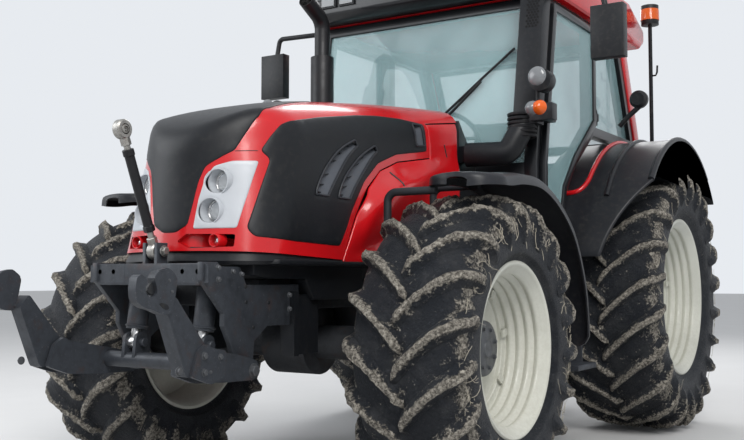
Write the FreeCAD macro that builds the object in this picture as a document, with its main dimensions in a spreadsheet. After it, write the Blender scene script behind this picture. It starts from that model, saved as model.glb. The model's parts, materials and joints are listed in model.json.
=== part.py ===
import FreeCAD, Part
import math
import os
import Sketcher
from FreeCAD import Vector, Placement, Rotation

# Farm tractor with a raised front linkage, in millimetres.
# It faces -Y, its left side is +X, +Z is up and the ground is at zero.
# Places along the tractor that end in _at are measured back from the front wheel centres.

doc = FreeCAD.newDocument("tractor")
sheet = doc.addObject("Spreadsheet::Sheet", "sizes")
nodes = []


class Length:
    """A size from the sheet, or a sum of them: its expression and its value."""

    def __init__(self, text, value):
        self.text = text
        self.value = value

    def __add__(self, other):
        return combined(self, "+", other)

    def __radd__(self, other):
        return combined(other, "+", self)

    def __sub__(self, other):
        return combined(self, "-", other)

    def __rsub__(self, other):
        return combined(other, "-", self)

    def __mul__(self, other):
        return combined(self, "*", other)

    def __rmul__(self, other):
        return combined(other, "*", self)

    def __truediv__(self, other):
        return combined(self, "/", other)

    def __neg__(self):
        return combined(0, "-", self)


def length(value):
    """Any number as a Length."""
    if isinstance(value, Length):
        return value
    return Length(repr(float(value)), float(value))


def combined(first, sign, second):
    """Two lengths joined by one sign, as an expression and as a number."""
    first = length(first)
    second = length(second)
    values = {
        "+": first.value + second.value,
        "-": first.value - second.value,
        "*": first.value * second.value,
        "/": first.value / (second.value or 1.0),
    }
    return Length(f"({first.text} {sign} {second.text})", values[sign])


class Sizes:
    """Every size of the sheet, by its name."""

    rows = 0


s = Sizes()


def add_sizes(table):
    """Writes each name and its millimetres to the sheet, and keeps it under its name."""
    for name, value in table.items():
        Sizes.rows += 1
        sheet.set(f"A{Sizes.rows}", name)
        sheet.set(f"B{Sizes.rows}", str(value))
        sheet.setAlias(f"B{Sizes.rows}", name)
        setattr(s, name, Length(f"sizes.{name}", float(value)))
    doc.recompute([sheet])


def at(place):
    """A place along the tractor, measured back from the front wheel centres."""
    return s.front_axle_y + place


def bind(thing, place, size):
    thing.setExpression(place, length(size).text)


def bind_place(thing, x, y, z):
    bind(thing, "Placement.Base.x", x)
    bind(thing, "Placement.Base.y", y)
    bind(thing, "Placement.Base.z", z)


def base_plane(body, role):
    for feature in body.Origin.OriginFeatures:
        if feature.Role == role:
            return feature
    raise ValueError(role)


def arc_between(first, last, radius):
    """A circle arc from first to last; a positive radius bulges to the left of the way."""
    chord = last - first
    reach = chord.Length / 2
    size = max(abs(radius), reach * 1.0001)
    left = Vector(-chord.y, chord.x, 0).normalize()
    side = 1 if radius > 0 else -1
    middle = first + chord * 0.5 - left * side * math.sqrt(size * size - reach * reach)
    start = math.atan2(first.y - middle.y, first.x - middle.x)
    end = math.atan2(last.y - middle.y, last.x - middle.x)
    circle = Part.Circle(middle, Vector(0, 0, 1), size)
    if side > 0:
        return Part.ArcOfCircle(circle, end, start), 2, 1
    return Part.ArcOfCircle(circle, start, end), 1, 2


def draw(sketch, corners):
    """Draws a closed outline: each corner is (x, y) or (x, y, radius of the arc that follows)."""
    points = [Vector(length(c[0]).value, length(c[1]).value, 0) for c in corners]
    first = sketch.GeometryCount
    ends = []
    for i, corner in enumerate(corners):
        following = points[(i + 1) % len(points)]
        if len(corner) == 3:
            curve, start, end = arc_between(points[i], following, length(corner[2]).value)
        else:
            curve, start, end = Part.LineSegment(points[i], following), 1, 2
        ends.append((sketch.addGeometry(curve, False), start, end))
    for i, corner in enumerate(corners):
        edge, start, end = ends[i]
        before, _, before_end = ends[i - 1]
        sketch.addConstraint(Sketcher.Constraint("Coincident", before, before_end, edge, start))
        for kind, value in (("DistanceX", corner[0]), ("DistanceY", corner[1])):
            number = sketch.addConstraint(
                Sketcher.Constraint(kind, -1, 1, edge, start, length(value).value))
            bind(sketch, f"Constraints[{number}]", value)
        if len(corner) == 3:
            radius = length(corner[2])
            number = sketch.addConstraint(
                Sketcher.Constraint("Radius", edge, abs(radius.value)))
            bind(sketch, f"Constraints[{number}]", radius if radius.value > 0 else -radius)
    return first


def draw_circle(sketch, x, y, radius):
    circle = Part.Circle(Vector(length(x).value, length(y).value, 0), Vector(0, 0, 1),
                         length(radius).value)
    edge = sketch.addGeometry(circle, False)
    for kind, value in (("DistanceX", x), ("DistanceY", y)):
        number = sketch.addConstraint(
            Sketcher.Constraint(kind, -1, 1, edge, 3, length(value).value))
        bind(sketch, f"Constraints[{number}]", value)
    number = sketch.addConstraint(Sketcher.Constraint("Radius", edge, length(radius).value))
    bind(sketch, f"Constraints[{number}]", radius)


def sketch_in(body, name, plane, start=0):
    sketch = body.newObject("Sketcher::SketchObject", name)
    sketch.AttachmentSupport = [(base_plane(body, plane), "")]
    sketch.MapMode = "FlatFace"
    bind(sketch, "AttachmentOffset.Base.z", start)
    return sketch


def plate(label, plane, corners, start, thickness, windows=(), holes=()):
    """A flat piece padded from start along its plane's normal (+X, +Z, or -Y for the front)."""
    body = doc.addObject("PartDesign::Body", label)
    sketch = sketch_in(body, label + "_outline", plane, start)
    draw(sketch, corners)
    for window in windows:
        draw(sketch, window)
    for hole in holes:
        draw_circle(sketch, *hole)
    pad = body.newObject("PartDesign::Pad", label + "_pad")
    pad.Profile = sketch
    bind(pad, "Length", thickness)
    return body


def side_plate(label, corners, x0, x1, windows=(), holes=()):
    """A plate seen from the side: its corners are places along and up, from x0 to x1."""
    placed = [(at(c[0]),) + tuple(c[1:]) for c in corners]
    cut = [[(at(c[0]),) + tuple(c[1:]) for c in w] for w in windows]
    bored = [(at(h[0]), h[1], h[2]) for h in holes]
    return plate(label, "YZ_Plane", placed, x0, x1 - x0, cut, bored)


def turned(label, corners, x, y, z):
    """A body turned about the X axis through x, y, z: corners are places across and radii."""
    body = doc.addObject("PartDesign::Body", label)
    sketch = sketch_in(body, label + "_profile", "XZ_Plane")
    draw(sketch, corners)
    turn = body.newObject("PartDesign::Revolution", label + "_turn")
    turn.Profile = sketch
    turn.ReferenceAxis = (sketch, ["H_Axis"])
    turn.Angle = 360
    bind_place(body, x, y, z)
    return body


def box(label, x0, x1, y0, y1, z0, z1):
    """A block between three pairs of places; y0 and y1 are measured from the front wheels."""
    block = doc.addObject("Part::Box", label)
    bind(block, "Length", x1 - x0)
    bind(block, "Width", length(y1) - y0)
    bind(block, "Height", length(z1) - z0)
    bind_place(block, x0, at(y0), z0)
    return block


TURNS = {
    "x": Rotation(Vector(0, 1, 0), 90),
    "y": Rotation(Vector(1, 0, 0), -90),
    "z": Rotation(),
}


def cylinder(label, axis, x, y, z, radius, size):
    """A cylinder from x, y, z along an axis; y is measured from the front wheels."""
    round_bar = doc.addObject("Part::Cylinder", label)
    round_bar.Placement = Placement(Vector(), TURNS[axis])
    bind(round_bar, "Radius", radius)
    bind(round_bar, "Height", size)
    bind_place(round_bar, x, at(y), z)
    return round_bar


def point(place):
    """A place (across, along from the front wheels, up) as numbers."""
    return Vector(length(place[0]).value, at(place[1]).value, length(place[2]).value)


def rod(label, first, last, radius):
    """A round bar between two places."""
    start = point(first)
    way = point(last) - start
    round_bar = doc.addObject("Part::Cylinder", label)
    bind(round_bar, "Radius", radius)
    round_bar.Height = way.Length
    round_bar.Placement = Placement(start, Rotation(Vector(0, 0, 1), way))
    return round_bar


def bar(label, first, last, wide, deep, over=0):
    """A flat bar between two places, wide across X, deep at right angles, past both ends."""
    start = point(first)
    way = point(last) - start
    extra = length(over).value
    across = Vector(0, -way.z, way.y).normalize()
    turn = Rotation(Vector(1, 0, 0), across, way, "ZXY")
    block = doc.addObject("Part::Box", label)
    bind(block, "Length", wide)
    bind(block, "Width", deep)
    block.Height = way.Length + 2 * extra
    corner = turn.multVec(Vector(-length(wide).value / 2, -length(deep).value / 2, -extra))
    block.Placement = Placement(start + corner, turn)
    return block


def tube(label, route, radius, bend, bore=0):
    """A round pipe along straight runs joined by arcs of one bend radius."""
    points = [point(p) for p in route]
    turn = length(bend).value
    edges = []
    start = points[0]
    for before, corner, after in zip(points, points[1:], points[2:]):
        inward = (before - corner).normalize()
        outward = (after - corner).normalize()
        half = inward.getAngle(outward) / 2
        setback = turn / math.tan(half)
        first = corner + inward * setback
        last = corner + outward * setback
        bisector = (inward + outward).normalize()
        middle = corner + bisector * (turn / math.sin(half) - turn)
        edges.append(Part.LineSegment(start, first).toShape())
        edges.append(Part.Arc(first, middle, last).toShape())
        start = last
    edges.append(Part.LineSegment(start, points[-1]).toShape())
    path = Part.Wire(edges)
    shape = swept(path, points, length(radius).value)
    if length(bore).value > 0:
        shape = shape.cut(swept(path, points, length(bore).value))
    pipe = doc.addObject("Part::Feature", label)
    pipe.Shape = shape
    return pipe


def swept(path, points, radius):
    circle = Part.Circle(points[0], points[1] - points[0], radius).toShape()
    return path.makePipeShell([Part.Wire([circle])], True, False)


def mirrored(label, source):
    """The same piece on the tractor's right side."""
    twin = doc.addObject("Part::Mirroring", label)
    twin.Source = source
    twin.Normal = Vector(1, 0, 0)
    return twin


def fused(label, pieces):
    whole = doc.addObject("Part::MultiFuse", label)
    whole.Shapes = pieces
    whole.Refine = True
    return whole


def grouped(label, pieces):
    """Solids of one node that don't touch, or only meet face to face."""
    whole = doc.addObject("Part::Compound", label)
    whole.Links = pieces
    return whole


def cut(label, base, tools):
    """The base less its tools."""
    if isinstance(tools, (list, tuple)):
        tools = tools[0] if len(tools) == 1 else fused(label + "_tools", list(tools))
    rest = doc.addObject("Part::Cut", label)
    rest.Base = base
    rest.Tool = tools
    rest.Refine = True
    return rest


def common(label, pieces):
    """What all the pieces share."""
    shared = doc.addObject("Part::MultiCommon", label)
    shared.Shapes = pieces
    shared.Refine = True
    return shared


def node(piece):
    """Marks a finished sub-part: its label is its file's name."""
    nodes.append(piece)
    return piece


def pair(name, piece):
    """A left and a right sub-part, each a node of its own."""
    piece.Label = name + "_left"
    return node(piece), node(mirrored(name + "_right", piece))


# Wheels

wheels_sizes = {
    "front_axle_y": -1112,
    "wheelbase": 2665,
    "front_track_half": 940,
    "rear_track_half": 925,
    "front_tyre_radius": 690,
    "front_tyre_width": 540,
    "front_rim_radius": 378,
    "front_rim_width": 450,
    "rear_tyre_radius": 880,
    "rear_tyre_width": 650,
    "rear_rim_radius": 505,
    "rear_rim_width": 530,
    "tyre_shoulder_drop": 60,
    "tyre_wall_drop": 190,
    "tyre_shoulder_inset": 22,
    "tyre_tread_inset": 60,
    "rim_wall": 26,
    "front_disc_inset": 215,
    "rear_disc_inset": 235,
    "rim_disc_thickness": 16,
    "rim_cone": 60,
    "hub_bore": 110,
    "hub_reach": 60,
    "fit_gap": 0.3,
}
add_sizes(wheels_sizes)


def wheel(name, x, y, radius, width, rim_radius, rim_width, disc_inset):
    """A tyre and its rim, both turned about the axle; the rim's disc is set in from outside."""
    half = width / 2
    tyre = turned(name + "_tyre", (
        (-(rim_width / 2), rim_radius),
        (-half, radius - s.tyre_wall_drop),
        (-half + s.tyre_shoulder_inset, radius - s.tyre_shoulder_drop),
        (-half + s.tyre_tread_inset, radius),
        (half - s.tyre_tread_inset, radius),
        (half - s.tyre_shoulder_inset, radius - s.tyre_shoulder_drop),
        (half, radius - s.tyre_wall_drop),
        (rim_width / 2, rim_radius),
    ), x, y, radius)
    rim_half = rim_width / 2
    disc = rim_half - disc_inset
    inner = rim_radius - s.rim_wall
    rim = turned(name + "_rim", (
        (-rim_half, rim_radius),
        (rim_half, rim_radius),
        (rim_half, inner),
        (disc, inner - s.rim_cone),
        (disc, s.hub_bore),
        (disc - s.rim_disc_thickness, s.hub_bore),
        (disc - s.rim_disc_thickness, inner - s.rim_cone),
        (-rim_half, inner),
    ), x, y, radius)
    pair(name + "_tyre", tyre)
    pair(name + "_rim", rim)


wheel("front", s.front_track_half, s.front_axle_y, s.front_tyre_radius, s.front_tyre_width,
      s.front_rim_radius, s.front_rim_width, s.front_disc_inset)
wheel("rear", s.rear_track_half, at(s.wheelbase), s.rear_tyre_radius, s.rear_tyre_width,
      s.rear_rim_radius, s.rear_rim_width, s.rear_disc_inset)

# Front axle and the knuckles that steer the front wheels

front_axle_sizes = {
    "kingpin_half": 700,
    "axle_tube_radius": 82,
    "axle_drop_radius": 160,
    "axle_drop_half": 125,
    "ear_half_height": 160,
    "ear_thickness": 40,
    "ear_half_depth": 70,
    "ear_inner": 590,
    "ear_reach": 60,
    "knuckle_radius": 88,
    "axle_gap": 6,
    "saddle_half": 110,
    "frame_bottom": 860,
}
add_sizes(front_axle_sizes)
ear_low = s.front_tyre_radius - s.ear_half_height
ear_high = s.front_tyre_radius + s.ear_half_height
ear_end = s.kingpin_half + s.ear_reach
fork_end = s.kingpin_half - s.knuckle_radius - s.axle_gap
axle_tube = cylinder("axle_tube", "x", -fork_end, 0, s.front_tyre_radius, s.axle_tube_radius,
                     fork_end * 2)
axle_drop = cylinder("axle_drop", "x", -s.axle_drop_half, 0, s.front_tyre_radius,
                     s.axle_drop_radius, s.axle_drop_half * 2)
fork_back = box("fork_back", s.ear_inner - s.ear_thickness, s.ear_inner,
                -s.ear_half_depth, s.ear_half_depth, ear_low, ear_high)
ear_top = box("ear_top", s.ear_inner, ear_end, -s.ear_half_depth, s.ear_half_depth,
              ear_high - s.ear_thickness, ear_high)
ear_foot = box("ear_foot", s.ear_inner, ear_end, -s.ear_half_depth, s.ear_half_depth,
               ear_low, ear_low + s.ear_thickness)
fork_left = fused("fork_left", [fork_back, ear_top, ear_foot])
axle_saddle = box("axle_saddle", -s.axle_drop_half, s.axle_drop_half, -s.saddle_half,
                  s.saddle_half, s.front_tyre_radius, s.frame_bottom - s.fit_gap)
node(fused("front_axle", [axle_tube, axle_drop, axle_saddle, fork_left,
                          mirrored("fork_right", fork_left)]))

knuckle_low = ear_low + s.ear_thickness + s.fit_gap
knuckle_high = ear_high - s.ear_thickness - s.fit_gap
disc_face = s.front_track_half + s.front_rim_width / 2 - s.front_disc_inset
knuckle_barrel = cylinder("knuckle_barrel", "z", s.kingpin_half, 0, knuckle_low,
                          s.knuckle_radius, knuckle_high - knuckle_low)
spindle = cylinder("spindle", "x", s.kingpin_half, 0, s.front_tyre_radius,
                   s.hub_bore - s.fit_gap, disc_face + s.hub_reach - s.kingpin_half)

# Front frame, engine, gearbox and lower shroud

front_frame_sizes = {
    "frame_half": 245,
    "frame_front_at": -640,
    "frame_rear_at": 330,
    "frame_top": 1000,
    "engine_half": 265,
    "engine_front_at": -300,
    "engine_rear_at": 860,
    "engine_top": 1500,
    "sump_half": 180,
    "sump_front_at": 260,
    "sump_bottom": 600,
    "gearbox_half": 235,
    "gearbox_rear_at": 2985,
    "gearbox_bottom": 560,
    "gearbox_top": 1040,
    "trumpet_radius": 150,
    "trumpet_flange": 30,
    "shroud_half": 345,
    "shroud_front_at": -800,
    "shroud_rear_at": 40,
    "shroud_middle": 985,
    "shroud_belly": 905,
    "shroud_chin": 130,
    "shroud_cheek_at": -425,
    "shroud_flange": 24,
}
add_sizes(front_frame_sizes)
node(side_plate("front_frame", (
    (s.frame_front_at, s.frame_bottom + 20),
    (s.frame_front_at, s.frame_top),
    (s.frame_rear_at, s.frame_top),
    (s.frame_rear_at, s.frame_bottom - 200),
    (s.axle_drop_radius + s.axle_gap, s.frame_bottom - 200),
    (s.axle_drop_radius + s.axle_gap, s.frame_bottom),
    (-s.axle_drop_radius - 80, s.frame_bottom),
), -s.frame_half, s.frame_half))
node(side_plate("engine", (
    (s.engine_front_at, s.frame_top + s.fit_gap),
    (s.engine_front_at, s.engine_top),
    (s.engine_rear_at, s.engine_top),
    (s.engine_rear_at, s.sump_bottom + 120),
    (s.engine_rear_at - 120, s.sump_bottom),
    (s.frame_rear_at + s.fit_gap, s.sump_bottom),
    (s.frame_rear_at + s.fit_gap, s.frame_top + s.fit_gap),
), -s.engine_half, s.engine_half))
gearbox = side_plate("gearbox_case", (
    (s.engine_rear_at + s.fit_gap, s.gearbox_bottom + 80),
    (s.engine_rear_at + s.fit_gap, s.gearbox_top),
    (s.gearbox_rear_at, s.gearbox_top),
    (s.gearbox_rear_at, s.gearbox_bottom + 60),
    (s.gearbox_rear_at - 150, s.gearbox_bottom),
    (s.engine_rear_at + 200, s.gearbox_bottom),
), -s.gearbox_half, s.gearbox_half)
rear_disc_face = s.rear_track_half + s.rear_rim_width / 2 - s.rear_disc_inset
trumpet_reach = rear_disc_face - s.rim_disc_thickness - s.fit_gap
hub_end = rear_disc_face + s.hub_reach
trumpets = cylinder("trumpets", "x", -trumpet_reach, s.wheelbase, s.rear_tyre_radius,
                    s.trumpet_radius, trumpet_reach * 2)
hub_shaft = cylinder("hub_shaft", "x", -hub_end, s.wheelbase, s.rear_tyre_radius,
                     s.hub_bore - s.fit_gap, hub_end * 2)
node(fused("gearbox", [gearbox, trumpets, hub_shaft]))
# Hood: an outer form less an inner one, then split into its panels

hood_outer_sizes = {
    "hood_nose_at": -950,
    "hood_rear_at": 930,
    "hood_bottom": 1085,
    "hood_wall": 9,
    "hood_rear_top": 1985,
    "hood_rear_crown_half": 290,
    "hood_rear_crown_drop": 26,
    "hood_rear_side_half": 418,
    "hood_rear_side_drop": 165,
    "hood_front_top": 1690,
    "hood_front_crown_half": 240,
    "hood_front_crown_drop": 20,
    "hood_front_side_half": 396,
    "hood_front_side_drop": 150,
    "hood_low_half": 424,
    "hood_low": 950,
    "hood_high": 2100,
    "shoulder_radius": 230,
    "crown_radius": 1700,
    "corner_half": 345,
    "corner_back": 75,
    "side_half": 450,
    "side_back": 210,
    "nose_radius": 900,
    "corner_radius": 170,
    "top_corner_half": 270,
    "top_corner_back": 380,
    "top_side_back": 700,
    "top_nose_back": 60,
    "brow_low": 1560,
    "brow_back": 430,
    "brow_high": 1790,
    "brow_radius": 520,
}
add_sizes(hood_outer_sizes)


def hood_form(name, wall):
    """The hood's closed form: lengthwise loft, cut by the nose's plan and the brow."""
    ends = (
        ("rear", s.hood_rear_at, s.hood_rear_top, s.hood_rear_crown_half,
         s.hood_rear_crown_drop, s.hood_rear_side_half, s.hood_rear_side_drop),
        ("front", s.hood_nose_at - 40, s.hood_front_top, s.hood_front_crown_half,
         s.hood_front_crown_drop, s.hood_front_side_half, s.hood_front_side_drop),
    )
    body = doc.addObject("PartDesign::Body", name + "_long")
    sections = []
    for end, place, top, crown_half, crown_drop, side_half, side_drop in ends:
        sketch = sketch_in(body, f"{name}_{end}", "XZ_Plane", -at(place))
        low_half = s.hood_low_half - wall
        side = side_half - wall
        crown = crown_half - wall
        high = top - wall
        draw(sketch, (
            (-low_half, s.hood_low),
            (low_half, s.hood_low),
            (side, high - side_drop, -s.shoulder_radius),
            (crown, high - crown_drop, -s.crown_radius),
            (-crown, high - crown_drop, -s.shoulder_radius),
            (-side, high - side_drop),
        ))
        sections.append(sketch)
    loft = body.newObject("PartDesign::AdditiveLoft", name + "_loft")
    loft.Profile = sections[0]
    loft.Sections = [sections[1]]
    loft.Ruled = True
    plan = doc.addObject("PartDesign::Body", name + "_plan")
    levels = []
    nose = at(s.hood_nose_at) + wall
    for level, height, corner_half, corner_back, side_back, back in (
            ("low", s.hood_low - 10, s.corner_half, s.corner_back, s.side_back, 0),
            ("high", s.hood_high, s.top_corner_half, s.top_corner_back, s.top_side_back,
             s.top_nose_back)):
        sketch = sketch_in(plan, f"{name}_{level}", "XY_Plane", height)
        half = s.side_half
        draw(sketch, (
            (-half, at(s.hood_rear_at) + 10),
            (half, at(s.hood_rear_at) + 10),
            (half, nose + side_back, -s.corner_radius * 6),
            (corner_half, nose + corner_back, -s.nose_radius),
            (0, nose + back, -s.nose_radius),
            (-corner_half, nose + corner_back, -s.corner_radius * 6),
            (-half, nose + side_back),
        ))
        levels.append(sketch)
    rise = plan.newObject("PartDesign::AdditiveLoft", name + "_rise")
    rise.Profile = levels[0]
    rise.Sections = [levels[1]]
    rise.Ruled = True
    brow = side_plate(name + "_brow", (
        (s.hood_nose_at - 60, s.hood_low - 20),
        (s.hood_nose_at - 60, s.brow_low - 200),
        (s.hood_nose_at + wall, s.brow_low - wall, -s.brow_radius),
        (s.hood_nose_at + s.brow_back, s.brow_high - wall),
        (s.hood_rear_at + 20, s.hood_high + 100),
        (s.hood_rear_at + 20, s.hood_low - 20),
    ), -s.side_half, s.side_half)
    return common(name, [body, plan, brow])


outer_form = hood_form("hood_outer", 0)
inner_form = hood_form("hood_inner", s.hood_wall)

# Lower shroud: a tray under the hood's edge, with cheeks beside the frame

tray = side_plate("shroud_tray", (
    (s.shroud_front_at, s.hood_bottom - s.fit_gap),
    (s.shroud_front_at, s.shroud_middle + 30),
    (s.shroud_front_at + s.shroud_chin, s.frame_top + s.fit_gap),
    (s.shroud_rear_at, s.frame_top + s.fit_gap),
    (s.shroud_rear_at, s.hood_bottom - s.fit_gap),
), -s.shroud_half, s.shroud_half)
flange = common("shroud_flange", [outer_form, box(
    "flange_slice", -s.side_half, s.side_half, s.hood_nose_at - 60, s.shroud_rear_at,
    s.hood_bottom - s.fit_gap - s.shroud_flange, s.hood_bottom - s.fit_gap)])
cheek = side_plate("shroud_cheek", (
    (s.shroud_cheek_at, s.shroud_middle),
    (s.shroud_cheek_at, s.hood_bottom - s.shroud_flange),
    (s.shroud_rear_at, s.hood_bottom - s.shroud_flange),
    (s.shroud_rear_at, s.shroud_belly),
    (s.shroud_cheek_at + 60, s.shroud_belly),
), s.frame_half + 5, s.shroud_half)
engine_room = box("engine_room", -s.engine_half - s.fit_gap, s.engine_half + s.fit_gap,
                  s.engine_front_at - s.fit_gap, s.shroud_rear_at + 50, s.frame_top - 200,
                  s.hood_bottom + 50)
node(cut("lower_shroud", fused("shroud_whole", [
    tray, flange, cheek, mirrored("shroud_cheek_right", cheek)]), [engine_room]))

# The hood's wall, open below

hood_wall = cut("hood_wall", outer_form, [inner_form, box(
    "hood_foot", -s.side_half, s.side_half, s.hood_nose_at - 60, s.hood_rear_at + 20,
    s.hood_low - 20, s.hood_bottom)])

# Outlines of the hood's panels, seen from the side and from the front

outlines_hood_sizes = {
    "panel_front_at": -905,
    "panel_front_low": 1195,
    "panel_low": 1160,
    "panel_arch_at": -275,
    "panel_arch_radius": 700,
    "panel_arch_top_at": 270,
    "panel_arch_top": 1640,
    "panel_tail_at": 560,
    "panel_tail_low": 1680,
    "panel_tail_high": 1790,
    "panel_top_at": -355,
    "panel_top": 1722,
    "panel_brow_at": -720,
    "panel_brow": 1560,
    "panel_inner_half": 250,
    "panel_front_half": 364,
    "cover_rim": 26,
    "cover_tail_at": 905,
    "hinge_at": 955,
    "hinge_height": 1925,
    "hinge_half": 150,
    "hinge_sheet": 14,
    "hinge_pin": 10,
    "lamp_inner_low": 132,
    "lamp_low": 1215,
    "lamp_outer_half": 322,
    "lamp_high": 1508,
    "lamp_inner_high": 215,
    "lamp_shoulder": 1455,
    "lamp_shoulder_half": 152,
    "lens_radius": 58,
    "lens_low_half": 205,
    "lens_low": 1285,
    "lens_high_half": 232,
    "lens_high": 1425,
    "lens_proud": 4,
    "nose_panel_low": 1175,
    "nose_panel_low_half": 60,
    "nose_panel_side_half": 112,
    "nose_panel_side": 1240,
    "nose_panel_brow_half": 128,
    "nose_panel_brow": 1470,
    "nose_panel_wide_half": 205,
    "nose_panel_wide": 1535,
    "nose_panel_top_half": 150,
    "nose_panel_back_at": -330,
    "nose_panel_tail_half": 185,
}
add_sizes(outlines_hood_sizes)
side_outline = (
    (s.panel_front_at, s.panel_front_low),
    (s.panel_front_at + 40, s.panel_low + 5),
    (s.panel_arch_at, s.panel_low, s.panel_arch_radius),
    (s.panel_arch_top_at, s.panel_arch_top),
    (s.panel_tail_at, s.panel_tail_low),
    (s.panel_tail_at - 40, s.panel_tail_high),
    (s.panel_arch_top_at - 330, s.panel_tail_high - 20),
    (s.panel_top_at, s.panel_top),
    (s.panel_brow_at, s.panel_brow),
)
side_tool = cut("side_tool", side_plate("side_field", side_outline, s.panel_inner_half,
                                        s.side_half),
                [box("lamp_field", 0, s.panel_front_half, s.hood_nose_at - 60, s.panel_brow_at + 40,
                     s.hood_low, s.hood_high)])
side_tools = grouped("side_tools", [side_tool, mirrored("side_tool_right", side_tool)])
lamp_outline = (
    (s.lamp_inner_low, s.lamp_low),
    (s.lamp_outer_half, s.lamp_low),
    (s.lamp_outer_half + 12, s.lamp_high),
    (s.lamp_inner_high, s.lamp_high - 8),
    (s.lamp_shoulder_half, s.lamp_shoulder),
)
tool_depth = length(640)
lamp_tool = plate("lamp_tool", "XZ_Plane", lamp_outline, -at(s.hood_nose_at) - 560, tool_depth)
lamp_tools = grouped("lamp_tools", [lamp_tool, mirrored("lamp_tool_right", lamp_tool)])
nose_tool = plate("nose_tool", "XZ_Plane", (
    (-s.nose_panel_low_half, s.nose_panel_low),
    (s.nose_panel_low_half, s.nose_panel_low),
    (s.nose_panel_side_half, s.nose_panel_side),
    (s.nose_panel_brow_half, s.nose_panel_brow),
    (s.nose_panel_wide_half, s.nose_panel_wide),
    (s.nose_panel_tail_half, s.hood_high),
    (-s.nose_panel_tail_half, s.hood_high),
    (-s.nose_panel_wide_half, s.nose_panel_wide),
    (-s.nose_panel_brow_half, s.nose_panel_brow),
    (-s.nose_panel_side_half, s.nose_panel_side),
), -at(s.nose_panel_back_at), tool_depth + 100)
node(common("hood_nose_panel", [hood_wall, nose_tool]))
node(cut("hood_side_panels", common("side_skins", [hood_wall, side_tools]), [lamp_tools]))
lamp_bowls = common("lamp_bowls", [hood_wall, lamp_tools])
lenses = []
for name, half, height, back in (("low", s.lens_low_half, s.lens_low, 52),
                                 ("high", s.lens_high_half, s.lens_high, 95)):
    lens = cylinder("lens_" + name, "y", half, s.hood_nose_at + back, height, s.lens_radius, 70)
    lenses += [lens, mirrored(f"lens_{name}_right", lens)]
headlamps = node(fused("headlamps", [lamp_bowls] + lenses))
cover_cut = side_plate("cover_cut", (
    (s.shroud_rear_at - 30, s.hood_low - 20),
    (s.panel_arch_at + 90, s.panel_low - 20, s.panel_arch_radius),
    (s.panel_arch_top_at + 20, s.panel_arch_top - s.cover_rim),
    (s.panel_tail_at + 20, s.panel_tail_low - s.cover_rim),
    (s.panel_tail_at + 20, s.panel_tail_high + 15),
    (s.cover_tail_at, s.panel_tail_high + 40),
    (s.hood_rear_at + 30, s.panel_tail_high + 40),
    (s.hood_rear_at + 30, s.hood_low - 20),
), -s.side_half - 30, s.side_half + 30)
hinge_lug = side_plate("hinge_lug", (
    (s.hood_rear_at - 80, s.hinge_height + 20),
    (s.hood_rear_at - 80, s.hood_rear_top - 26),
    (s.hood_rear_at - 6, s.hood_rear_top - 16),
    (s.hinge_at + 18, s.hinge_height + 12),
    (s.hinge_at + 12, s.hinge_height - 18),
    (s.hinge_at - 20, s.hinge_height - 16),
), s.hinge_half, s.hinge_half + s.hinge_sheet,
    holes=((s.hinge_at, s.hinge_height, s.hinge_pin + 0.3),))
node(fused("hood_shell", [
    cut("hood_skin", hood_wall, [side_tools, lamp_tools, nose_tool, cover_cut]), hinge_lug,
    mirrored("hinge_lug_right", hinge_lug)]))

# Fixed covers behind the hood, with the raised lip over the front wheel

fixed_covers_sizes = {
    "cover_gap": 6,
    "cover_wall": 8,
    "cover_low": 1100,
    "cover_half": 424,
    "cover_lip_half": 560,
}
add_sizes(fixed_covers_sizes)
cover_side = side_plate("cover_side", (
    (s.shroud_rear_at - 30 + s.cover_gap, s.cover_low),
    (s.panel_arch_at + 90 + s.cover_gap, s.panel_low - 20 - s.cover_gap, s.panel_arch_radius),
    (s.panel_arch_top_at + 20, s.panel_arch_top - s.cover_rim - s.cover_gap * 1.5),
    (s.panel_tail_at + 20 + s.cover_gap, s.panel_tail_low - s.cover_rim - s.cover_gap),
    (s.panel_tail_at + 20 + s.cover_gap, s.panel_tail_high + 15 - s.cover_gap),
    (s.cover_tail_at, s.panel_tail_high + 40 - s.cover_gap),
    (s.hood_rear_at, s.panel_tail_high + 40 - s.cover_gap),
    (s.hood_rear_at, s.cover_low + 260),
    (s.panel_arch_top_at + 260, s.cover_low + 120),
), s.cover_half - s.cover_wall, s.cover_half)
node(grouped("side_covers", [cover_side, mirrored("cover_side_right", cover_side)]))

# Cab

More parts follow.
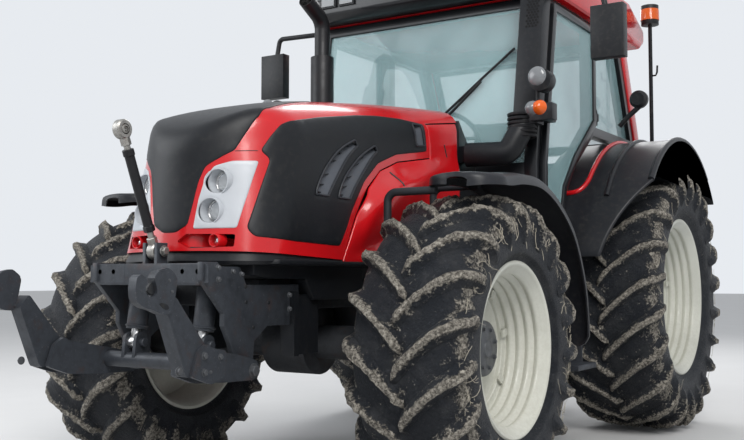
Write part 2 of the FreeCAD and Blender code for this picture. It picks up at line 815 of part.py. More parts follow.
cab_sizes = {
    "cab_front_at": 1150,
    "cab_half": 790,
    "cab_floor": 1120,
    "floor_thickness": 60,
    "cab_cowl": 1660,
    "cab_head": 2660,
    "cab_lean": 170,
    "cab_rear_at": 3000,
    "cab_rear_lean": 330,
    "cab_belt": 1985,
    "cab_sill": 1925,
    "cab_back_at": 2930,
    "well_half": 545,
    "door_post_at": 2135,
    "door_foot_at": 1430,
    "door_knee_at": 1540,
    "door_knee": 1530,
    "door_hip_at": 1720,
    "door_hip": 1725,
    "post_width": 70,
    "post_depth": 70,
    "rail_height": 60,
    "glass": 6,
    "glass_gap": 0.3,
    "roof_top": 2950,
    "roof_half": 850,
    "roof_front_at": 1330,
    "roof_rear_at": 3090,
    "roof_edge": 130,
    "visor_front_at": 1165,
    "visor_half": 800,
    "pillar_deep": 120,
}
add_sizes(cab_sizes)
node(grouped("cab_base", [
    fused("cab_floor", [
        box("front_floor", -s.cab_half + s.post_width + s.fit_gap,
            s.cab_half - s.post_width - s.fit_gap,
            s.cab_front_at + 40, s.door_foot_at + s.post_depth, s.cab_floor - s.floor_thickness,
            s.cab_floor),
        box("rear_floor", -s.well_half, s.well_half, s.cab_front_at + 40, s.cab_back_at,
            s.cab_floor - s.floor_thickness, s.cab_floor),
    ]),
    fused("cowl", [
        side_plate("cowl_block", (
            (s.hood_rear_at + 12, s.cab_floor),
            (s.hood_rear_at + 12, s.hinge_height - 30),
            (s.cab_front_at - s.fit_gap, s.cab_cowl + 10),
            (s.cab_front_at - s.fit_gap, s.cab_floor),
        ), -s.cover_half + 12, s.cover_half - 12),
        cylinder("hood_pin", "x", -s.hinge_half - s.hinge_sheet - 6, s.hinge_at,
                 s.hinge_height, s.hinge_pin, (s.hinge_half + s.hinge_sheet + 6) * 2),
        box("hood_pin_post", -s.hinge_half + 3, s.hinge_half - 3, s.hinge_at - 10,
            s.hinge_at + 14, s.hinge_height - 60, s.hinge_height),
    ]),
    side_plate("firewall", (
        (s.cab_front_at, s.cab_floor - s.floor_thickness),
        (s.cab_front_at, s.cab_cowl),
        (s.cab_front_at + 40, s.cab_cowl),
        (s.cab_front_at + 40, s.cab_floor - s.floor_thickness),
    ), -s.cab_half + s.post_width + s.fit_gap, s.cab_half - s.post_width - s.fit_gap),
    side_plate("back_wall", (
        (s.cab_back_at, s.cab_floor - s.floor_thickness),
        (s.cab_back_at, s.cab_sill - s.rail_height),
        (s.cab_back_at + 40, s.cab_sill - s.rail_height),
        (s.cab_back_at + 40, s.cab_floor - s.floor_thickness),
    ), -s.well_half, s.well_half),
]))
hinge_sizes = {
    "door_gap": 3,
    "door_thickness": 32,
    "door_hinge_at": 2108,
    "door_hinge_out": 22,
    "hinge_low": 2040,
    "hinge_high": 2520,
    "hinge_ring": 50,
    "hinge_radius": 18,
    "lid_axis_back": 46,
    "lid_axis_drop": 19,
    "lid_pin": 8,
    "lid_ring": 14,
    "lid_ring_half": 400,
    "lid_ring_wide": 50,
}
add_sizes(hinge_sizes)
door_in = s.cab_half + s.door_gap
door_out = door_in + s.door_thickness
door_hinge = s.cab_half + s.door_hinge_out
knuckles = []
for number, height in enumerate((s.hinge_low, s.hinge_high)):
    knuckles.append(cylinder(f"frame_pin_{number}", "z", door_hinge, s.door_hinge_at,
                             height - s.hinge_ring, s.hinge_pin, s.hinge_ring * 2))
    for side, low in (("under", height - s.hinge_ring), ("over", height + s.hinge_ring / 2 + 1)):
        knuckles.append(box(f"frame_leaf_{side}_{number}", s.cab_half, door_hinge,
                            s.door_hinge_at - 12, s.door_hinge_at + 12, low,
                            low + s.hinge_ring / 2 - 1))
head_front = s.cab_front_at + s.cab_lean
head_rear = s.cab_rear_at - s.cab_rear_lean
belt_rear = s.cab_rear_at - s.cab_rear_lean * 0.08
cab_side = side_plate("cab_side", (
    (s.cab_front_at, s.cab_floor - s.floor_thickness),
    (s.cab_front_at, s.cab_cowl),
    (head_front, s.cab_head),
    (head_rear, s.cab_head),
    (s.cab_rear_at, s.cab_sill),
    (s.door_post_at - 20, s.cab_sill),
    (s.door_hip_at + s.post_depth, s.door_hip - 25),
    (s.door_knee_at + s.post_depth, s.door_knee - 25),
    (s.door_foot_at + s.post_depth, s.cab_floor - s.floor_thickness),
), s.cab_half - s.post_width, s.cab_half, windows=(
    (
        (s.cab_front_at + s.post_depth, s.cab_floor),
        (s.door_foot_at, s.cab_floor),
        (s.door_knee_at, s.door_knee),
        (s.door_hip_at, s.door_hip),
        (s.door_post_at - s.post_depth, s.cab_belt),
        (s.door_post_at - s.post_depth, s.cab_head - s.rail_height),
        (head_front + s.post_depth, s.cab_head - s.rail_height),
        (s.cab_front_at + s.post_depth, s.cab_cowl),
    ),
    (
        (s.door_post_at, s.cab_belt),
        (belt_rear - s.post_depth, s.cab_belt),
        (head_rear - s.post_depth + 15, s.cab_head - s.rail_height),
        (s.door_post_at, s.cab_head - s.rail_height),
    ),
))
rail_half = s.cab_half - s.post_width
front_rail = side_plate("front_rail", (
    (head_front - s.rail_height * 0.17, s.cab_head - s.rail_height),
    (head_front, s.cab_head),
    (head_front + s.post_depth, s.cab_head),
    (head_front + s.post_depth, s.cab_head - s.rail_height),
), -rail_half, rail_half)
rear_sill = box("rear_sill", -rail_half, rail_half, s.cab_rear_at - s.post_depth, s.cab_rear_at,
                s.cab_sill, s.cab_belt)
rear_rail = side_plate("rear_rail", (
    (head_rear + s.rail_height * 0.23, s.cab_head - s.rail_height),
    (head_rear - s.post_depth, s.cab_head - s.rail_height),
    (head_rear - s.post_depth, s.cab_head),
    (head_rear, s.cab_head),
), -rail_half, rail_half)
hung_side = fused("hung_side", [cab_side] + knuckles)
lid_axis_at = head_rear + s.lid_axis_back
lid_axis_up = s.cab_head - s.lid_axis_drop
lid_pins = []
for number, middle in enumerate((s.lid_ring_half, -s.lid_ring_half)):
    inner = middle - s.lid_ring_wide / 2
    outer = middle + s.lid_ring_wide / 2
    lid_pins.append(cylinder(f"lid_pin_{number}", "x", inner - 16, lid_axis_at, lid_axis_up,
                             s.lid_pin, s.lid_ring_wide + 32))
    for side, place in (("inner", inner - 16), ("outer", outer + 1)):
        lid_pins.append(box(f"lid_lug_{side}_{number}", place, place + 15, head_rear - 20,
                            lid_axis_at + 12, lid_axis_up - 12, lid_axis_up + 12))
node(fused("cab_frame", [hung_side, mirrored("hung_side_right", hung_side), front_rail,
                         rear_rail, rear_sill] + lid_pins))

windscreen = side_plate("windscreen", (
    (s.cab_front_at + 12, s.cab_cowl + 2),
    (s.cab_front_at + 12 + s.glass, s.cab_cowl + 2),
    (head_front + s.glass, s.cab_head - s.rail_height - 4),
    (head_front, s.cab_head - s.rail_height - 4),
), -rail_half + s.glass_gap, rail_half - s.glass_gap)
quarter = side_plate("quarter_glass", (
    (s.door_post_at + s.glass_gap, s.cab_belt + s.glass_gap),
    (belt_rear - s.post_depth - s.glass_gap * 2, s.cab_belt + s.glass_gap),
    (head_rear - s.post_depth + 15 - s.glass_gap * 2, s.cab_head - s.rail_height - s.glass_gap),
    (s.door_post_at + s.glass_gap, s.cab_head - s.rail_height - s.glass_gap),
), s.cab_half - s.post_width / 2, s.cab_half - s.post_width / 2 + s.glass)
node(grouped("cab_glass", [windscreen, quarter, mirrored("quarter_glass_right", quarter)]))

pillar = side_plate("rear_pillar", (
    (head_rear + 1, s.cab_head),
    (s.cab_rear_at + 1, s.cab_sill + 5),
    (s.cab_rear_at + 1 + s.pillar_deep, s.cab_sill + 5),
    (head_rear + s.pillar_deep, s.cab_head),
), s.cab_half - s.post_width, s.cab_half + 10)
node(grouped("rear_pillars", [pillar, mirrored("rear_pillar_right", pillar)]))

roof = side_plate("roof_side", (
    (s.roof_front_at, s.cab_head + s.fit_gap),
    (s.roof_front_at, s.roof_top - 40),
    (s.roof_front_at + 200, s.roof_top),
    (s.roof_rear_at - 350, s.roof_top),
    (s.roof_rear_at, s.roof_top - s.roof_edge),
    (s.roof_rear_at, s.cab_head + 60),
    (s.roof_rear_at - 100, s.cab_head + s.fit_gap),
), -s.roof_half, s.roof_half)
roof.Label = "roof"
node(roof)
node(side_plate("roof_visor", (
    (s.roof_front_at - s.fit_gap, s.cab_head + 10),
    (s.visor_front_at + 60, s.cab_head + 10),
    (s.visor_front_at, s.cab_head + 50),
    (s.visor_front_at, s.roof_top - 130),
    (s.roof_front_at - s.fit_gap, s.roof_top - 45),
), -s.visor_half, s.visor_half))

# Doors and rear window, each a frame with its glass

doors_rear_sizes = {
    "door_frame": 42,
    "door_overlap": 18,
    "lid_stand": 33,
    "lid_side_gap": 6,
}
add_sizes(doors_rear_sizes)


def door_corners(inset):
    """The door's outline, drawn in by one width all round."""
    return (
        (s.cab_front_at + s.post_depth - s.door_overlap + inset, s.cab_floor - 18 + inset),
        (s.door_foot_at - inset * 0.9, s.cab_floor - 18 + inset),
        (s.door_knee_at - inset, s.door_knee + inset * 0.4),
        (s.door_hip_at - inset * 0.8, s.door_hip + inset * 0.6),
        (s.door_post_at - s.post_depth + s.door_overlap - inset, s.cab_belt + inset * 0.7),
        (s.door_post_at - s.post_depth + s.door_overlap - inset,
         s.cab_head - s.rail_height + s.door_overlap - inset),
        (head_front + s.post_depth - s.door_overlap + inset,
         s.cab_head - s.rail_height + s.door_overlap - inset),
        (s.cab_front_at + s.post_depth - s.door_overlap + inset, s.cab_cowl),
    )


door_panel = side_plate("door_panel", door_corners(length(0)), door_in, door_out,
                        windows=(door_corners(s.door_frame),))
rings = []
for number, height in enumerate((s.hinge_low, s.hinge_high)):
    ring = cylinder(f"door_ring_{number}", "z", door_hinge, s.door_hinge_at,
                    height - s.hinge_ring / 2, s.hinge_radius, s.hinge_ring)
    leaf = box(f"door_leaf_{number}", door_hinge - 8, door_out,
               s.door_post_at - s.post_depth, s.door_hinge_at, height - s.hinge_ring / 2,
               height + s.hinge_ring / 2)
    bore = cylinder(f"door_bore_{number}", "z", door_hinge, s.door_hinge_at,
                    height - s.hinge_ring, s.hinge_pin + s.fit_gap, s.hinge_ring * 2)
    rings.append(cut(f"door_knuckle_{number}", fused(f"door_whole_{number}", [ring, leaf]),
                     [bore]))
pair("door", fused("door_left", [door_panel] + rings))
door_glass = side_plate("door_glass_left", door_corners(s.door_frame + s.glass_gap),
                        door_in + 13, door_in + 13 + s.glass)
pair("door_glass", door_glass)

lid_corners = (
    (s.cab_rear_at + s.lid_stand, s.cab_sill + 8),
    (head_rear + 30, lid_axis_up - 18),
    (head_rear + 30 + s.door_thickness, lid_axis_up - 18),
    (s.cab_rear_at + s.lid_stand + s.door_thickness, s.cab_sill + 8),
)
lid_half = rail_half - s.lid_side_gap
lid = side_plate("lid_frame", lid_corners, -lid_half, lid_half)
lid_rings = []
lid_bores = []
for number, middle in enumerate((s.lid_ring_half, -s.lid_ring_half)):
    inner = middle - s.lid_ring_wide / 2
    lid_rings.append(cylinder(f"lid_ring_{number}", "x", inner, lid_axis_at, lid_axis_up,
                              s.lid_ring, s.lid_ring_wide))
    lid_rings.append(box(f"lid_leaf_{number}", inner, inner + s.lid_ring_wide, lid_axis_at - 8,
                         lid_axis_at + 8, lid_axis_up - 40, lid_axis_up))
    lid_bores.append(cylinder(f"lid_bore_{number}", "x", inner - 5, lid_axis_at, lid_axis_up,
                              s.lid_pin + s.fit_gap, s.lid_ring_wide + 10))
lid_hole = box("lid_hole", -lid_half + s.door_frame, lid_half - s.door_frame,
               head_rear - 300, s.cab_rear_at + 300, s.cab_sill + 50, s.cab_head - 80)
node(cut("rear_window", fused("lid_whole", [cut("lid_open", lid, [lid_hole])] + lid_rings),
         lid_bores))
lid_glass = side_plate("rear_window_pane", (
    (s.cab_rear_at + s.lid_stand + 10, s.cab_sill + 10),
    (head_rear + 40, s.cab_head - 35),
    (head_rear + 40 + s.glass, s.cab_head - 35),
    (s.cab_rear_at + s.lid_stand + 10 + s.glass, s.cab_sill + 10),
), -rail_half + 1, rail_half - 1)
node(common("rear_window_glass", [lid_glass, box(
    "pane_field", -lid_half + s.door_frame + s.glass_gap, lid_half - s.door_frame - s.glass_gap,
    head_rear - 300, s.cab_rear_at + 300, s.cab_sill + 52, s.cab_head - 82)]))

# Inside the cab

inside_cab_sizes = {
    "seat_at": 2150,
    "seat_half": 245,
    "seat_base": 1420,
    "seat_top": 1640,
    "seat_back_top": 2180,
    "dash_at": 1260,
    "dash_half": 150,
    "dash_top": 1800,
    "steering_wheel_at": 1640,
    "steering_wheel_height": 1900,
    "steering_wheel_radius": 200,
    "steering_rim": 15,
    "column_radius": 30,
}
add_sizes(inside_cab_sizes)
node(side_plate("seat", (
    (s.seat_at - 260, s.seat_base + 60),
    (s.seat_at - 280, s.seat_top),
    (s.seat_at + 130, s.seat_top - 20),
    (s.seat_at + 210, s.seat_back_top),
    (s.seat_at + 310, s.seat_back_top),
    (s.seat_at + 260, s.seat_base + 60),
), -s.seat_half, s.seat_half))
node(box("seat_base", -170, 170, s.seat_at - 180, s.seat_at + 200, s.cab_floor,
         s.seat_base + 60 - s.fit_gap))
dash = side_plate("dash", (
    (s.dash_at - 60, s.cab_floor),
    (s.dash_at - 60, s.dash_top - 60),
    (s.dash_at + 60, s.dash_top),
    (s.dash_at + 230, s.dash_top - 60),
    (s.dash_at + 150, s.cab_floor),
), -s.dash_half, s.dash_half)
column = rod("column", (0, s.dash_at + 150, s.dash_top - 80),
             (0, s.steering_wheel_at, s.steering_wheel_height), s.column_radius)
wheel_ring = doc.addObject("Part::Torus", "wheel_ring")
bind(wheel_ring, "Radius1", s.steering_wheel_radius)
bind(wheel_ring, "Radius2", s.steering_rim)
wheel_ring.Placement = column.Placement
bind_place(wheel_ring, 0, at(s.steering_wheel_at), s.steering_wheel_height)
spokes = [
    rod(f"spoke_{number}", (0, s.steering_wheel_at, s.steering_wheel_height),
        (s.steering_wheel_radius * across, s.steering_wheel_at + s.steering_wheel_radius * along,
         s.steering_wheel_height + s.steering_wheel_radius * up), s.steering_rim * 0.8)
    for number, (across, along, up) in enumerate(((0.95, 0, 0), (-0.95, 0, 0)))
]
node(fused("console", [dash, column, wheel_ring] + spokes))

# Rear fenders: an arched band and its inner wall

rear_fenders_sizes = {
    "fender_radius": 1020,
    "fender_forward": 60,
    "fender_rise": 20,
    "fender_wall": 14,
    "fender_outer": 1250,
    "fender_inner_gap": 3,
    "fender_foot": 1130,
    "fender_tail": 1540,
    "fender_taper_at": 1880,
    "fender_taper_front_at": 1560,
    "fender_taper_half": 930,
}
add_sizes(rear_fenders_sizes)
fender_inner = s.well_half + s.fit_gap
hub_at = s.wheelbase - s.fender_forward
hub_up = s.rear_tyre_radius + s.fender_rise


def on_arch(radius, height):
    """How far from its hub an arch stands at a height, along the tractor."""
    rise = height - hub_up
    text = f"sqrt({radius.text}^2 - {rise.text}^2)"
    return Length(text, math.sqrt(radius.value ** 2 - rise.value ** 2))


def on_arch_up(radius, place):
    """How far above its hub an arch stands at a place along the tractor."""
    run = place - hub_at
    text = f"sqrt({radius.text}^2 - {run.text}^2)"
    return Length(text, math.sqrt(radius.value ** 2 - run.value ** 2))


fender_skin = s.fender_radius - s.fender_wall
band = side_plate("fender_band", (
    (hub_at - on_arch(s.fender_radius, s.fender_foot), s.fender_foot, s.fender_radius),
    (hub_at + on_arch(s.fender_radius, s.fender_tail), s.fender_tail),
    (hub_at + on_arch(fender_skin, s.fender_tail), s.fender_tail, -fender_skin),
    (hub_at - on_arch(fender_skin, s.fender_foot), s.fender_foot),
), fender_inner, s.fender_outer)
inner_wall = side_plate("fender_inner_wall", (
    (hub_at - on_arch(fender_skin, s.fender_foot), s.fender_foot, fender_skin),
    (hub_at + on_arch(fender_skin, s.fender_tail), s.fender_tail),
    (s.cab_back_at + 20, s.fender_foot),
), fender_inner, fender_inner + s.fender_wall)
taper = plate("fender_taper", "XY_Plane", (
    (s.fender_taper_half, at(s.fender_taper_front_at) - 400),
    (s.fender_taper_half, at(s.fender_taper_front_at)),
    (s.fender_outer + 10, at(s.fender_taper_at)),
    (s.fender_outer + 10, at(s.fender_taper_front_at) - 400),
), s.fender_foot - 50, length(900))
rear_fender = cut("rear_fender_left", fused("fender_whole", [band, inner_wall]), [taper])
pair("rear_fender", rear_fender)

# Front fenders, each on its knuckle

front_fenders_sizes = {
    "front_fender_radius": 800,
    "front_fender_back": 90,
    "front_fender_wall": 10,
    "front_fender_inner": 830,
    "front_fender_outer": 1205,
    "front_fender_tip_at": -310,
    "front_fender_tip": 1425,
    "front_fender_low": 640,
    "fender_stay": 18,
    "fender_stay_half": 640,
    "stay_spread": 215,
    "stay_rise": 120,
}
add_sizes(front_fenders_sizes)
arch_up = s.front_tyre_radius - 10


def on_front_arch(radius, height):
    rise = height - arch_up
    text = f"sqrt({radius.text}^2 - {rise.text}^2)"
    return Length(text, math.sqrt(radius.value ** 2 - rise.value ** 2))


front_skin = s.front_fender_radius - s.front_fender_wall
front_join = arch_up + s.front_fender_radius * 0.985
front_join_skin = arch_up + front_skin * 0.985
front_band = side_plate("front_fender_band", (
    (s.front_fender_tip_at, s.front_fender_tip),
    (s.front_fender_back - on_front_arch(s.front_fender_radius, front_join), front_join,
     s.front_fender_radius),
    (s.front_fender_back + on_front_arch(s.front_fender_radius, s.front_fender_low),
     s.front_fender_low),
    (s.front_fender_back + on_front_arch(front_skin, s.front_fender_low), s.front_fender_low,
     -front_skin),
    (s.front_fender_back - on_front_arch(front_skin, front_join_skin), front_join_skin),
    (s.front_fender_tip_at + 4, s.front_fender_tip - s.front_fender_wall),
), s.front_fender_inner, s.front_fender_outer)
front_band.Label = "front_fender"
pair("front_fender", front_band)
stays = []
for name, foot, reach in (
        ("rear", s.stay_spread, s.stay_spread - s.front_fender_back),
        ("front", -s.stay_spread, s.stay_spread + s.front_fender_back)):
    stay_up = arch_up + on_front_arch(front_skin - s.fender_stay - s.fit_gap, arch_up + reach)
    stays.append(tube("stay_" + name, (
        (s.kingpin_half, foot * 0.2, s.front_tyre_radius),
        (s.fender_stay_half, foot, s.front_tyre_radius + s.stay_rise),
        (s.fender_stay_half, foot, stay_up),
        (s.front_fender_inner + 60, foot, stay_up),
    ), s.fender_stay, s.fender_stay * 2.5))
pair("knuckle", fused("knuckle_left", [knuckle_barrel, spindle] + stays))

# Tanks and steps under the cab, exhaust and air intake

tanks_steps_sizes = {
    "tank_inner": 300,
    "tank_outer": 700,
    "tank_front_at": 1062,
    "tank_rear_at": 1640,
    "tank_low": 500,
    "step_outer": 1040,
    "step_inner": 760,
    "step_front_at": 1110,
    "step_rear_at": 1400,
    "step_low": 500,
    "step_rise": 240,
    "step_sheet": 30,
    "exhaust_half": 552,
    "exhaust_at": 965,
    "exhaust_foot": 1500,
    "exhaust_body_top": 2380,
    "exhaust_radius": 72,
    "exhaust_pipe": 48,
    "exhaust_top": 2700,
    "intake_half": 735,
    "intake_at": 1090,
    "intake_radius": 68,
    "intake_low": 1700,
    "intake_collar": 1880,
    "duct_width": 140,
    "duct_deep": 105,
}
add_sizes(tanks_steps_sizes)
tank = side_plate("tank", (
    (s.tank_front_at + 80, s.tank_low),
    (s.tank_front_at, s.tank_low + 110),
    (s.tank_front_at, s.cab_floor - s.floor_thickness - s.fit_gap),
    (s.tank_rear_at, s.cab_floor - s.floor_thickness - s.fit_gap),
    (s.tank_rear_at, s.tank_low + 60),
    (s.tank_rear_at - 60, s.tank_low),
), s.tank_inner, s.tank_outer)
node(grouped("side_tanks", [tank, mirrored("tank_right", tank)]))
treads = [
    box(f"tread_{number}", s.step_inner + 40 * number, s.step_outer - 40 * number,
        s.step_front_at, s.step_rear_at, s.step_low + s.step_rise * number,
        s.step_low + s.step_rise * number + s.step_sheet)
    for number in range(3)
]
cheeks = [
    box(f"cheek_{name}", s.tank_outer + s.fit_gap, s.step_outer - 80, along, along + 10,
        s.step_low, s.step_low + s.step_rise * 2 + s.step_sheet)
    for name, along in (("front", s.step_front_at), ("rear", s.step_rear_at - 10))
]
step_left = fused("step_left", treads + cheeks)
node(grouped("steps", [step_left, mirrored("step_right", step_left)]))

stack = cylinder("stack", "z", -s.exhaust_half, s.exhaust_at, s.exhaust_foot, s.exhaust_radius,
                 s.exhaust_body_top - s.exhaust_foot)
stack_foot = box("stack_foot", -s.exhaust_half - 45, -s.cover_half + 12 - s.fit_gap,
                 s.hood_rear_at + 14, s.exhaust_at + 45, s.exhaust_foot - 60, s.exhaust_foot)
spout = tube("spout", (
    (-s.exhaust_half, s.exhaust_at, s.exhaust_body_top - 10),
    (-s.exhaust_half, s.exhaust_at, s.exhaust_top - 90),
    (-s.exhaust_half + 10, s.exhaust_at - 190, s.exhaust_top),
), s.exhaust_pipe, s.exhaust_pipe * 2, s.exhaust_pipe - 5)
node(fused("exhaust", [stack, spout, stack_foot]))

elbow = tube("elbow", (
    (s.cover_half + 20, s.intake_at - 120, s.intake_low),
    (s.intake_half - 60, s.intake_at - 60, s.intake_low),
    (s.intake_half + 20, s.intake_at, s.intake_collar),
), s.intake_radius, s.intake_radius * 1.1)
duct = side_plate("duct", (
    (s.intake_at - s.duct_deep / 2, s.intake_collar - 20),
    (s.intake_at - s.duct_deep / 2, s.intake_collar + 60),
    (s.intake_at + s.cab_lean - s.duct_deep + 10, s.cab_head + 5),
    (s.intake_at + s.cab_lean + 10, s.cab_head + 5),
    (s.intake_at + s.duct_deep / 2 - 5, s.intake_collar + 60),
    (s.intake_at + s.duct_deep / 2 - 5, s.intake_collar - 20),
), s.intake_half - 30, s.intake_half - 30 + s.duct_width)
intake_flange = box("intake_flange", s.cover_half - 12 + s.fit_gap, s.cover_half + 50,
                    s.intake_at - 160, s.intake_at - 90, s.intake_low - 45, s.intake_low + 45)
node(fused("air_intake", [elbow, duct, intake_flange]))

# Mirrors and lamps on the cab

mirrors_lamps_sizes = {
    "mirror_half": 1175,
    "mirror_at": 1290,
    "mirror_height": 2380,
    "mirror_width": 190,
    "mirror_tall": 300,
    "mirror_deep": 70,
    "mirror_arm": 16,
    "lamp_half": 900,
    "lamp_at": 950,
    "lamp_height": 2080,
    "lamp_radius": 62,
    "indicator_height": 1905,
    "beacon_half": 920,
    "beacon_at": 2990,
    "beacon_height": 2830,
    "beacon_radius": 62,
    "mast_radius": 14,
    "work_lamp_half": 960,
    "work_lamp_height": 2230,
}
add_sizes(mirrors_lamps_sizes)
mirror_arm = tube("mirror_arm", (
    (s.cab_half - 30, head_front - 21.8, s.cab_head - 30),
    (s.mirror_half - 40, s.mirror_at, s.cab_head - 20),
    (s.mirror_half, s.mirror_at, s.mirror_height + 60),
), s.mirror_arm, s.mirror_arm * 2.2)
mirror_head = box("mirror_head", s.mirror_half - s.mirror_width / 2,
                  s.mirror_half + s.mirror_width / 2, s.mirror_at - s.mirror_deep / 2,
                  s.mirror_at + s.mirror_deep / 2, s.mirror_height - s.mirror_tall / 2,
                  s.mirror_height + s.mirror_tall / 2)
mirror_left = fused("mirror_left", [mirror_arm, mirror_head])
node(grouped("mirrors", [mirror_left, mirrored("mirror_right", mirror_left)]))
pillar_lamp = cylinder("pillar_lamp", "y", s.lamp_half, s.lamp_at, s.lamp_height, s.lamp_radius,
                       80)
arm_front = s.lamp_at + 20
pillar_face = s.cab_front_at + s.cab_lean * 0.26
lamp_stem = cylinder("lamp_stem", "z", s.lamp_half - 30, s.lamp_at + 45, s.indicator_height,
                     12, s.lamp_height - s.indicator_height)
lamp_arm = box("lamp_arm", s.intake_half + s.duct_width - 25, s.lamp_half - 20, arm_front,
               pillar_face + 40, s.indicator_height - 20, s.indicator_height + 20)
lamp_foot = box("lamp_foot", s.cab_half + s.fit_gap, s.lamp_half - 30, pillar_face,
                pillar_face + 40, s.indicator_height - 20, s.indicator_height + 20)
indicator = box("indicator", s.lamp_half - 60, s.lamp_half + 70, s.lamp_at, s.lamp_at + 70,
                s.indicator_height - 45, s.indicator_height + 45)
lamp_left = fused("lamp_left", [pillar_lamp, lamp_stem, lamp_arm, lamp_foot, indicator])
mast_foot = hub_up + on_arch_up(s.fender_radius, s.beacon_at - s.mast_radius) + s.fit_gap
beacon_mast = cylinder("beacon_mast", "z", s.beacon_half, s.beacon_at, mast_foot,
                       s.mast_radius, s.beacon_height - mast_foot + 5)
beacon = cylinder("beacon", "z", s.beacon_half, s.beacon_at, s.beacon_height, s.beacon_radius,
                  140)
node(grouped("cab_lamps", [
    lamp_left, mirrored("lamp_right", lamp_left),
    fused("beacon_whole", [beacon_mast, beacon]),
]))

# Front linkage: frame, lift arms with claws, cylinders and top link

front_linkage_sizes = {
    "link_plate_inner": 285,
    "link_plate": 25,
    "arm_pivot_at": -812,
    "arm_pivot": 624,
    "arm_pin": 24,
    "beam_front_at": -1075,
    "beam_rear_at": -955,
    "beam_low": 975,
    "beam_high": 1068,
    "shelf_high": 1050,
    "arm_gap": 4,
    "arm_sheet": 22,
    "claw_half": 430,
    "claw_thickness": 36,
    "claw_seat_at": -1475,
    "claw_seat": 1000,
    "claw_radius": 33,
    "lift_half": 190,
    "lift_top_at": -900,
    "lift_top": 1015,
    "lift_eye_at": -940,
    "lift_eye": 730,
    "barrel_radius": 44,
    "barrel_length": 232,
    "barrel_neck": 52,
    "piston_radius": 21,
    "lift_pin": 18,
    "eye_half": 24,
    "cross_tube_at": -950,
    "cross_tube": 655,
    "cross_tube_radius": 34,
    "top_pin_at": -1020,
    "top_pin": 1115,
    "top_eye_at": -1212,
    "top_eye": 1600,
    "top_link_radius": 23,
    "top_link_eye": 40,
    "top_link_half": 24,
    "top_lug": 16,
}
add_sizes(front_linkage_sizes)
link_plate = side_plate("link_plate", (
    (s.beam_front_at, s.beam_low + 20),
    (s.beam_front_at, s.beam_high),
    (s.beam_rear_at - 30, s.beam_high),
    (s.beam_rear_at - 10, s.shelf_high),
    (s.beam_rear_at + 110, s.shelf_high),
    (s.beam_rear_at + 150, s.beam_low),
    (s.frame_front_at + 200, s.beam_low),
    (s.frame_front_at + 200, 800),
    (s.arm_pivot_at + 150, 800),
    (s.arm_pivot_at + 62, 740),
    (s.arm_pivot_at + 50, s.arm_pivot - 10, -52),
    (s.arm_pivot_at - 50, s.arm_pivot),
    (s.arm_pivot_at - 85, 730),
    (s.arm_pivot_at - 130, 810),
    (s.arm_pivot_at - 130, 860),
), s.link_plate_inner, s.link_plate_inner + s.link_plate)
arm_pin = cylinder("arm_pin", "x", s.link_plate_inner, s.arm_pivot_at, s.arm_pivot, s.arm_pin,
                   s.link_plate + s.arm_gap + s.arm_sheet + 12)
beam = box("link_beam", -s.link_plate_inner, s.link_plate_inner, s.beam_front_at + 10,
           s.beam_rear_at, s.beam_low, s.beam_high - 5)
frame_shelf = box("frame_shelf", s.frame_half + s.fit_gap, s.link_plate_inner, s.frame_front_at + 20,
                  s.frame_front_at + 190, s.frame_bottom + 20, s.beam_low)
lift_lugs = [
    box(f"lift_lug_{number}", place, place + s.top_lug, s.beam_rear_at, s.lift_top_at + 28,
        s.lift_top - 28, s.shelf_high)
    for number, place in enumerate((s.lift_half + s.eye_half + 1,
                                    s.lift_half - s.eye_half - s.top_lug - 1))
]
lift_pin = cylinder("lift_pin", "x", s.lift_half - s.eye_half - s.top_lug - 1, s.lift_top_at,
                    s.lift_top, s.lift_pin, s.eye_half * 2 + s.top_lug * 2 + 2)
top_lug = box("top_lug", s.top_link_half + 1, s.top_link_half + 1 + s.top_lug,
              s.top_pin_at - 30, s.top_pin_at + 30, s.beam_high - 5, s.top_pin + 34)
top_pin = cylinder("top_pin", "x", -s.top_link_half - 30, s.top_pin_at, s.top_pin, s.lift_pin,
                   s.top_link_half * 2 + 60)
half_frame = fused("half_link_frame", [link_plate, arm_pin, frame_shelf, lift_pin, top_lug]
                   + lift_lugs)
node(fused("linkage_frame", [beam, half_frame, mirrored("half_link_frame_right", half_frame),
                             top_pin]))

arm_inner = s.link_plate_inner + s.link_plate + s.arm_gap
arm_outer = arm_inner + s.arm_sheet
bracket = side_plate("arm_bracket", (
    (s.arm_pivot_at - 330, s.arm_pivot - 14),
    (s.arm_pivot_at - 318, s.arm_pivot + 112),
    (s.arm_pivot_at - 150, s.arm_pivot + 112),
    (s.arm_pivot_at + 10, s.arm_pivot + 52),
    (s.arm_pivot_at + 48, s.arm_pivot),
    (s.arm_pivot_at + 10, s.arm_pivot - 50),
    (s.arm_pivot_at - 140, s.arm_pivot - 34),
), arm_inner, arm_outer, holes=((s.arm_pivot_at, s.arm_pivot, s.arm_pin + 0.5),))
arm_bar = bar("arm_bar", (arm_outer + 12, s.arm_pivot_at - 130, s.arm_pivot + 20),
              (s.claw_half - 6, s.claw_seat_at + 115, s.claw_seat - 85), length(22), length(112),
              length(40))
claw = side_plate("claw", (
    (s.claw_seat_at - s.claw_radius, s.claw_seat, -s.claw_radius),
    (s.claw_seat_at + s.claw_radius, s.claw_seat),
    (s.claw_seat_at + 62, s.claw_seat + 42),
    (s.claw_seat_at + 125, s.claw_seat + 42),
    (s.claw_seat_at + 150, s.claw_seat - 60),
    (s.claw_seat_at + 105, s.claw_seat - 125),
    (s.claw_seat_at + 20, s.claw_seat - 128),
    (s.claw_seat_at - 72, s.claw_seat - 90),
    (s.claw_seat_at - 92, s.claw_seat - 20),
    (s.claw_seat_at - 55, s.claw_seat + 25),
), s.claw_half - s.claw_thickness / 2, s.claw_half + s.claw_thickness / 2)
